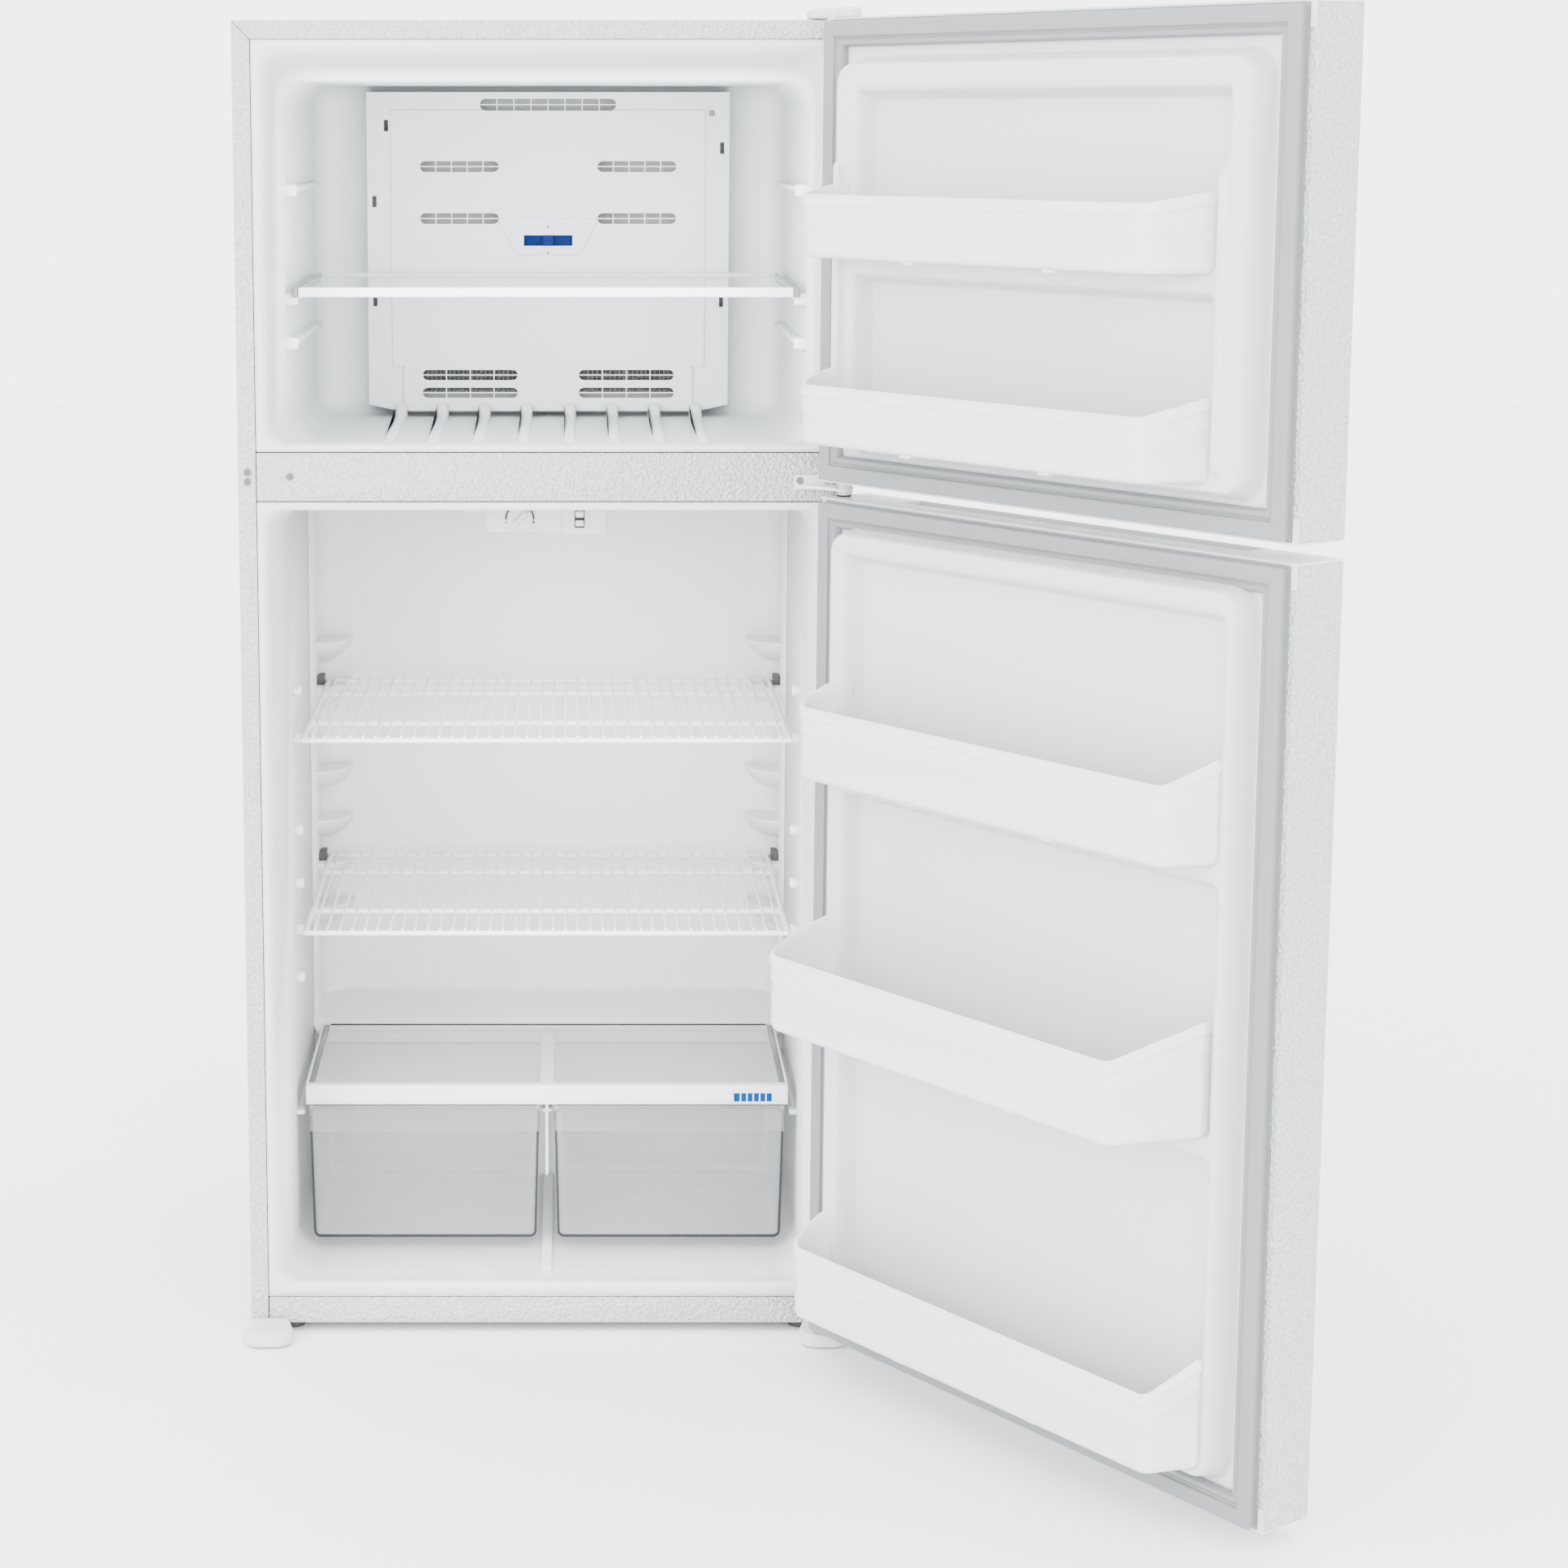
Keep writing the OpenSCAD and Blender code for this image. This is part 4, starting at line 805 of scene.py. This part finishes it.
def marks():
    """Small dots on the evaporator cover above and below the slider, in place of words."""
    v, f = merged(*[disc(0, 572.0, 574, 1380 + dz, 1.2, 0.3, 14) for dz in (19, -17)])
    add("slider_marks", v, f, INK_AND_SHADE, "cabinet")


def cabinet_core():
    """Foam between the wrapper and the liners: blocks round both rooms, clear of the moulded corners."""
    skin, side = 1.5, 346.0
    parts = []
    for s in (-1, 1):
        x0, x1 = sorted((s * (HALF - skin), s * side))
        parts.append(block((x0, 14, RAIL[0] + 30), (x1, DEPTH - 2, TOP - skin), 1.0))
    parts.append(block((-side, 14, TOP - 28), (side, DEPTH - 2, TOP - skin), 1.0))
    parts.append(block((-side, 14, MULLION[0] + 2), (side, 636, MULLION[1] - 12), 1.0))
    parts.append(block((-side, 14, RAIL[0] + 30), (side, 436, RAIL[1] + 6), 1.0))
    parts.append(block((-side, 641, 300), (side, DEPTH - 2, TOP - 28), 1.0))
    v, f = merged(*parts)
    add("cabinet_core", v, f, FOAM, "cabinet", replaces=["cabinet_foam"])


# ---- Doors ----


def polygon_distance(points, x, z):
    """Signed distance to a closed polygon, negative inside."""
    best = np.full(x.shape, 1e9)
    sign = np.ones(x.shape)
    n = len(points)
    for i in range(n):
        ax, az = points[i]
        bx, bz = points[(i + 1) % n]
        ex, ez = bx - ax, bz - az
        wx, wz = x - ax, z - az
        t = np.clip((wx * ex + wz * ez) / (ex * ex + ez * ez), 0, 1)
        best = np.minimum(best, (wx - ex * t) ** 2 + (wz - ez * t) ** 2)
        c1, c2, c3 = z >= az, z < bz, ex * wz > ez * wx
        flip = (c1 & c2 & c3) | (~c1 & ~c2 & ~c3)
        sign = np.where(flip, -sign, sign)
    return sign * np.sqrt(best)


def lines(lo, hi, edges, fine=1.7, reach=15.0, coarse=16.0):
    """Grid lines from lo to hi, close together near the edges given."""
    out = [lo]
    while out[-1] < hi:
        near = min(abs(out[-1] + fine - e) for e in edges)
        step = fine if near < reach else min(coarse, max(fine, (near - reach) * 0.6 + fine))
        out.append(min(hi, out[-1] + step))
    return np.array(out)


def ease(t):
    """Soft step from 0 to 1."""
    t = np.clip(t, 0, 1)
    return t * t * (3 - 2 * t)


def pressed_sheet(door, xs, zs, height):
    """Sheet pressed to a height map on the inside of a door, with a turned back edge."""
    gx, gz = np.meshgrid(xs, zs)
    gy = height(gx, gz)
    nz, nx = gx.shape
    verts = np.stack([gx, gy, gz], -1).reshape(-1, 3).tolist()
    faces = []
    for k in range(nz - 1):
        for i in range(nx - 1):
            a = k * nx + i
            faces.append((a, a + nx, a + nx + 1, a + 1))
    name = door + "_pressing"
    o = add(name, verts, faces, DOOR_LINER, door, True, [door + "_liner"], 50.0)
    thicken(o, 1.8)


def door_liner(door, span, dyke, pockets, beads=()):
    """Pressed inner face of a door: a raised dyke, hollows for the bins and beads for their hooks."""
    x0, x1, z0, z1 = dyke
    r = 24.0
    core = [(x0 + r, z0 + r), (x1 - r, z0 + r), (x1 - r, z1 - r), (x0 + r, z1 - r)]

    def height(x, z):
        inside = -(polygon_distance(core, x, z) - r)
        y = DOOR_BACK + 0.4 + (DYKE_FRONT - DOOR_BACK - 0.4) * ease((inside + 9) / 12)
        hollow = np.full(x.shape, -1e9)
        for points, pr in pockets:
            hollow = np.maximum(hollow, -(polygon_distance(points, x, z) - pr))
        chamfer = 3.0 * ease((hollow + 3) / 10)
        wall = (DYKE_FRONT - DOOR_BACK - 7.0) * ease((hollow - 4) / 13)
        y = y - chamfer - wall
        for u0, u1, low, high in beads:
            across = 1 - abs(PIN[0] - x - (u0 + u1) / 2) / ((u1 - u0) / 2 + 3.0)
            along = np.minimum(z - low, high - z) / 14.0
            y = y + 11.0 * ease(across * 1.7) * ease(along) * ease((inside - 1) / 6)
        return y

    flat_x = [x0, x1] + [p[0] + s * pr for points, pr in pockets for p in points for s in (-1, 1)]
    flat_z = [z0, z1] + [p[1] + s * pr for points, pr in pockets for p in points for s in (-1, 1)]
    xs = lines(-HALF + 13, HALF - 13, flat_x)
    zs = lines(span[0] + 7, span[1] - 7, flat_z)
    pressed_sheet(door, xs, zs, height)
    wide = lines(-HALF + 13, HALF - 13, flat_x, 6.0, 20.0, 40.0)
    tall = lines(span[0] + CAP + 1, span[1] - CAP - 1, flat_z, 6.0, 20.0, 40.0)
    foam_core(door, height, wide, tall)


def foam_core(door, height, xs, zs):
    """Foam that fills a door between its face and the pressed liner."""
    gx, gz = np.meshgrid(xs, zs)
    top = np.minimum(height(gx, gz) - 6.0, DYKE_FRONT - 6.0)
    nz, nx = gx.shape
    verts = np.stack([gx, top, gz], -1).reshape(-1, 3).tolist()
    base = len(verts)
    verts += np.stack([gx, np.full(gx.shape, DOOR_FACE + 2.5), gz], -1).reshape(-1, 3).tolist()
    faces = []
    for k in range(nz - 1):
        for i in range(nx - 1):
            a = k * nx + i
            faces.append((a, a + nx, a + nx + 1, a + 1))
            faces.append((base + a, base + a + 1, base + a + nx + 1, base + a + nx))
    rim = [i for i in range(nx)] + [k * nx + nx - 1 for k in range(1, nz)]
    rim += [(nz - 1) * nx + i for i in range(nx - 2, -1, -1)] + [k * nx for k in range(nz - 2, 0, -1)]
    for a, b in zip(rim, rim[1:] + rim[:1]):
        faces.append((a, b, base + b, base + a))
    add(door + "_core", verts, faces, FOAM, door, True, [door + "_foam"])


def pocket(u0, u1, z0, z1, r=12.0):
    """Rectangle in distance from the hinge axis, as the core of a rounded pocket."""
    x0, x1 = PIN[0] - u1 + r, PIN[0] - u0 - r
    return [(x0, z0 + r), (x1, z0 + r), (x1, z1 - r), (x0, z1 - r)], r


def door_shell(door, span):
    """Steel case folded round to the inner face, open at both ends for the caps."""
    r, skin = 2.5, 1.0
    outer = (
        [(-HALF + 12, DOOR_BACK), (-HALF + 1.5, DOOR_BACK)]
        + arc(-HALF + 1.5, DOOR_BACK - 1.5, 1.5, 90, 180, 3)[1:]
        + arc(-HALF + r, DOOR_FACE + r, r, 180, 270, 8)
        + arc(HALF - r, DOOR_FACE + r, r, 270, 360, 8)
        + arc(HALF - 1.5, DOOR_BACK - 1.5, 1.5, 0, 90, 3)
        + [(HALF - 12, DOOR_BACK)]
    )
    inner = (
        [(HALF - 12, DOOR_BACK - skin), (HALF - skin, DOOR_BACK - skin)]
        + arc(HALF - r, DOOR_FACE + r, r - skin, 360, 270, 8)
        + arc(-HALF + r, DOOR_FACE + r, r - skin, 270, 180, 8)
        + [(-HALF + skin, DOOR_BACK - skin), (-HALF + 12, DOOR_BACK - skin)]
    )
    profile = outer + inner
    z0, z1 = span[0] + 3.0, span[1] - 3.0
    v, f = loft([[(x, y, z0) for x, y in profile], [(x, y, z1) for x, y in profile]])
    add(door + "_skin", v, f, STEEL, door, True, [door + "_panel"], 30.0)


def soften(node, width):
    """Rounds a CAD node's edges for the eye, with its shape and place as they are."""
    m = frame["nodes"][node].modifiers.new("soft edges", "BEVEL")
    m.width = width * MM
    m.segments = 2
    m.limit_method = "ANGLE"
    m.angle_limit = math.radians(50)
    m.use_clamp_overlap = True


def door_gasket(door, span):
    """Magnetic gasket: a bellows section run round the door with mitred corners."""
    section = [
        (0.0, DOOR_BACK + 0.3),
        (0.0, DOOR_BACK + 2.5),
        (2.2, DOOR_BACK + 3.2),
        (2.2, -7.5),
        (0.6, -6.5),
        (0.6, -2.6),
        (1.8, -1.5),
        (17.0, -1.5),
        (18.6, -2.6),
        (19.4, -5.5),
        (21.2, -6.6),
        (24.0, -5.0),
        (28.0, -5.6),
        (30.4, -8.5),
        (31.0, DOOR_BACK + 1.5),
        (30.0, DOOR_BACK + 0.4),
    ]
    z0, z1 = span[0] + 4, span[1] - 4
    rings = []
    for d, y in section:
        x = GASKET_OUT - d
        rings.append([(-x, y, z0 + d), (x, y, z0 + d), (x, y, z1 - d), (-x, y, z1 - d)])
    v, f = loft(rings[::-1], wrap=True)
    add(door + "_seal", v, f, GASKET, door, True, [door + "_gasket"], 35.0)


def door_bin(node, body, plan, radii, z0, z_front, z_side, bulge):
    """Bin with a rolled rim, a ridge under it, a bowed hinge end and a slanted free end."""
    corners = [(PIN[0] - u, PIN[1] + w) for u, w in plan]
    outline = round_polygon(corners[::-1], radii[::-1], 7)
    dense = []
    n = len(outline)
    for i in range(n):
        a, b = outline[i], outline[(i + 1) % n]
        cuts = max(1, int(math.dist(a, b) / 14))
        dense += [(a[0] + (b[0] - a[0]) * k / cuts, a[1] + (b[1] - a[1]) * k / cuts) for k in range(cuts)]
    w_front = max(p[1] for p in plan)
    w_back = min(p[1] for p in plan)
    hinge_u = min(p[0] for p in plan)
    shaped = []
    for x, y in dense:
        u, w = PIN[0] - x, y - PIN[1]
        t = (w - w_back) / (w_front - w_back)
        near = max(0.0, 1 - (u - hinge_u) / 45.0)
        shaped.append((x + bulge * near * math.sin(math.pi * min(max(t, 0), 1)) ** 0.8, y))
    w_of = np.array(shaped)[:, 1] - PIN[1]
    rise = np.clip((w_front - w_of) / (w_front - 60.0), 0, 1)
    z_top = z_front + (z_side - z_front) * rise
    z_top = np.where(w_of < w_back + 2.5, z0 + 26.0, z_top)

    def ring(inset, z, from_top):
        p = shrink(shaped, inset)
        return [(a, b, (z_top[i] - z) if from_top else z0 + z) for i, (a, b) in enumerate(p)]

    rings = [
        ring(14, 0, False),
        ring(8, 0.4, False),
        ring(4, 2.4, False),
        ring(1.6, 6.5, False),
        ring(1.0, 12, False),
        ring(0.9, 34, True),
        ring(-0.3, 32.0, True),
        ring(-0.3, 30.5, True),
        ring(0.8, 29, True),
        ring(0.6, 16.5, True),
        ring(0.9, 15.2, True),
        ring(0.2, 13.6, True),
        ring(-1.4, 12.8, True),
        ring(-1.9, 11.0, True),
        ring(-1.9, 6.0, True),
        ring(-1.0, 3.6, True),
        ring(2.2, 1.0, True),
        ring(3.2, 0.0, True),
        ring(4.2, 0.4, True),
        ring(4.8, 2.0, True),
        ring(4.8, 12.0, True),
        ring(6, 14, False),
        ring(8, 7, False),
        ring(13, 3.4, False),
        ring(18, 3.0, False),
    ]
    parts = [loft(rings)]
    hook_x, hook_y = PIN[0] - min(p[0] for p in plan[:2]) - 2.6, PIN[1] + w_back
    low = (hook_x - 1.4, hook_y - 4, z_side - 24)
    high = (hook_x + 1.6, hook_y + 14, z_side - 3)
    parts.append(block(low, high, 0.9, 2.0))
    for u in (245, 470):
        low = (PIN[0] - u - 9, PIN[1] + w_front - 26, z0 - 3.5)
        high = (PIN[0] - u + 9, PIN[1] + w_front - 12, z0 + 3)
        parts.append(block(low, high, 1.2, 2.0))
    v, f = merged(*parts)
    add(node + "_moulding", v, f, BIN, body, True, [node], 38.0)


FREEZER_BIN = [(74, 28), (650, 28), (650, 60), (625, 135), (74, 135)]
SHALLOW_BIN = [(68, 28), (680, 28), (680, 60), (658, 120), (57, 120)]
DEEP_BIN = [(68, 28), (672, 28), (672, 60), (632, 165), (60, 165)]
BINS = {
    "freezer_bin_upper": ("freezer_door", FREEZER_BIN, 1387, 1461, 1473, 22),
    "freezer_bin_lower": ("freezer_door", FREEZER_BIN, 1168, 1239, 1258, 22),
    "fridge_bin_upper": ("fridge_door", SHALLOW_BIN, 760, 850, 875, 16),
    "fridge_bin_middle": ("fridge_door", DEEP_BIN, 455, 550, 586, 18),
    "fridge_bin_lower": ("fridge_door", SHALLOW_BIN, 80, 172, 208, 16),
}


def doors():
    """Both doors with their liners, cases, gaskets and bins."""
    free, hinge = PIN[0] - 657, PIN[0] - 84
    notch = PIN[0] - 640
    upper = [(hinge, 1396), (hinge, 1496), (hinge, 1574), (free, 1574)]
    upper += [(free, 1516), (notch, 1492), (notch, 1396)]
    pockets = [pocket(70, 652, 1165, 1371), (upper, 12.0)]
    beads = [(50, 62, 1172, 1506), (660, 674, 1172, 1504)]
    door_liner("freezer_door", FREEZER_DOOR, (-325, 325, 1157.5, 1612), pockets, beads)
    pockets = [pocket(61, 684, lo, hi, 14) for lo, hi in ((77, 439), (452, 744), (757, 1035))]
    door_liner("fridge_door", FRIDGE_DOOR, (-325, 325, 70, 1055), pockets)
    for door, span in (("freezer_door", FREEZER_DOOR), ("fridge_door", FRIDGE_DOOR)):
        door_shell(door, span)
        door_gasket(door, span)
        soften(door + "_caps", 1.0)
    for node, (door, plan, z0, z_front, z_side, bulge) in BINS.items():
        door_bin(node, door, plan, [9, 6, 10, 20, 14], z0, z_front, z_side, bulge)


# ---- Light, floor and camera ----

FOCAL_WIDTHS = 3997.0 / 1932.0
PITCH = 0.1590


def stage():
    """Pale floor and an even white sky."""
    v = [(-9000, -9000, -0.5), (9000, -9000, -0.5), (9000, 14000, -0.5), (-9000, 14000, -0.5)]
    mesh = bpy.data.meshes.new("floor")
    mesh.from_pydata([Vector(p) * MM for p in v], [], [(0, 1, 2, 3)])
    floor = bpy.data.objects.new("floor", mesh)
    mesh.materials.append(moulded("pale_floor", (0.93, 0.93, 0.93), 0.7, change=0.005))
    bpy.context.scene.collection.objects.link(floor)
    world = bpy.data.worlds.new("soft_white")
    bpy.context.scene.world = world
    world.use_nodes = True
    sky = world.node_tree.nodes["Background"]
    sky.inputs["Color"].default_value = (1.0, 1.0, 1.0, 1)
    sky.inputs["Strength"].default_value = 5.0


def lamp(name, place, target, size, power, color=(1, 1, 1)):
    """Rectangular lamp aimed at a point, in metres and watts."""
    data = bpy.data.lights.new(name, "AREA")
    data.shape = "RECTANGLE"
    data.size, data.size_y = size
    data.energy = power
    data.color = color
    o = bpy.data.objects.new(name, data)
    o.location = place
    o.rotation_mode = "QUATERNION"
    o.rotation_quaternion = (Vector(target) - Vector(place)).to_track_quat("-Z", "Y")
    bpy.context.scene.collection.objects.link(o)


def lights():
    """Two large soft lamps in front, and weak ones inside both rooms."""
    lamp("key_left", (-2.4, -3.6, 2.4), (0.1, 0.3, 0.9), (2.2, 2.2), 150)
    lamp("front", (0.1, -4.6, 2.0), (0.0, 0.3, 0.9), (2.4, 2.0), 70)
    lamp("fridge_lamp", (0.0, 0.33, 1.012), (0.0, 0.28, 0.3), (0.12, 0.16), 2.2, (1.0, 0.98, 0.95))
    lamp("freezer_fill", (0.0, 0.03, 1.38), (0.0, 0.6, 1.36), (0.6, 0.42), 6.0, (0.95, 0.98, 1.0))
    lamp("fridge_fill", (0.0, 0.03, 0.50), (0.0, 0.6, 0.36), (0.6, 0.80), 4.5)


def camera():
    """Camera placed as in the photograph, pitched down with a smaller shift."""
    data = bpy.data.cameras.new("camera")
    data.sensor_width = 36.0
    data.lens = 36.0 * FOCAL_WIDTHS
    data.shift_x, data.shift_y = 0.1363, -0.090
    data.clip_start, data.clip_end = 0.05, 100.0
    o = bpy.data.objects.new("camera", data)
    o.location = (0.031, -4.0, 1.543)
    o.rotation_euler = (math.pi / 2 - PITCH, 0, 0)
    bpy.context.scene.collection.objects.link(o)
    bpy.context.scene.camera = o


dress_cad()
cabinet_shell()
freezer_liner()
fridge_liner()
cabinet_core()
foot_covers()
hinge_cover()
center_hinge_collar()
freezer_shelf()
evaporator()
controls()
crisper_cover()
crisper("crisper_left", -316.0, -8.0)
crisper("crisper_right", 8.0, 316.0)
hump_slot_shades()
marks()
doors()
stage()
lights()
camera()
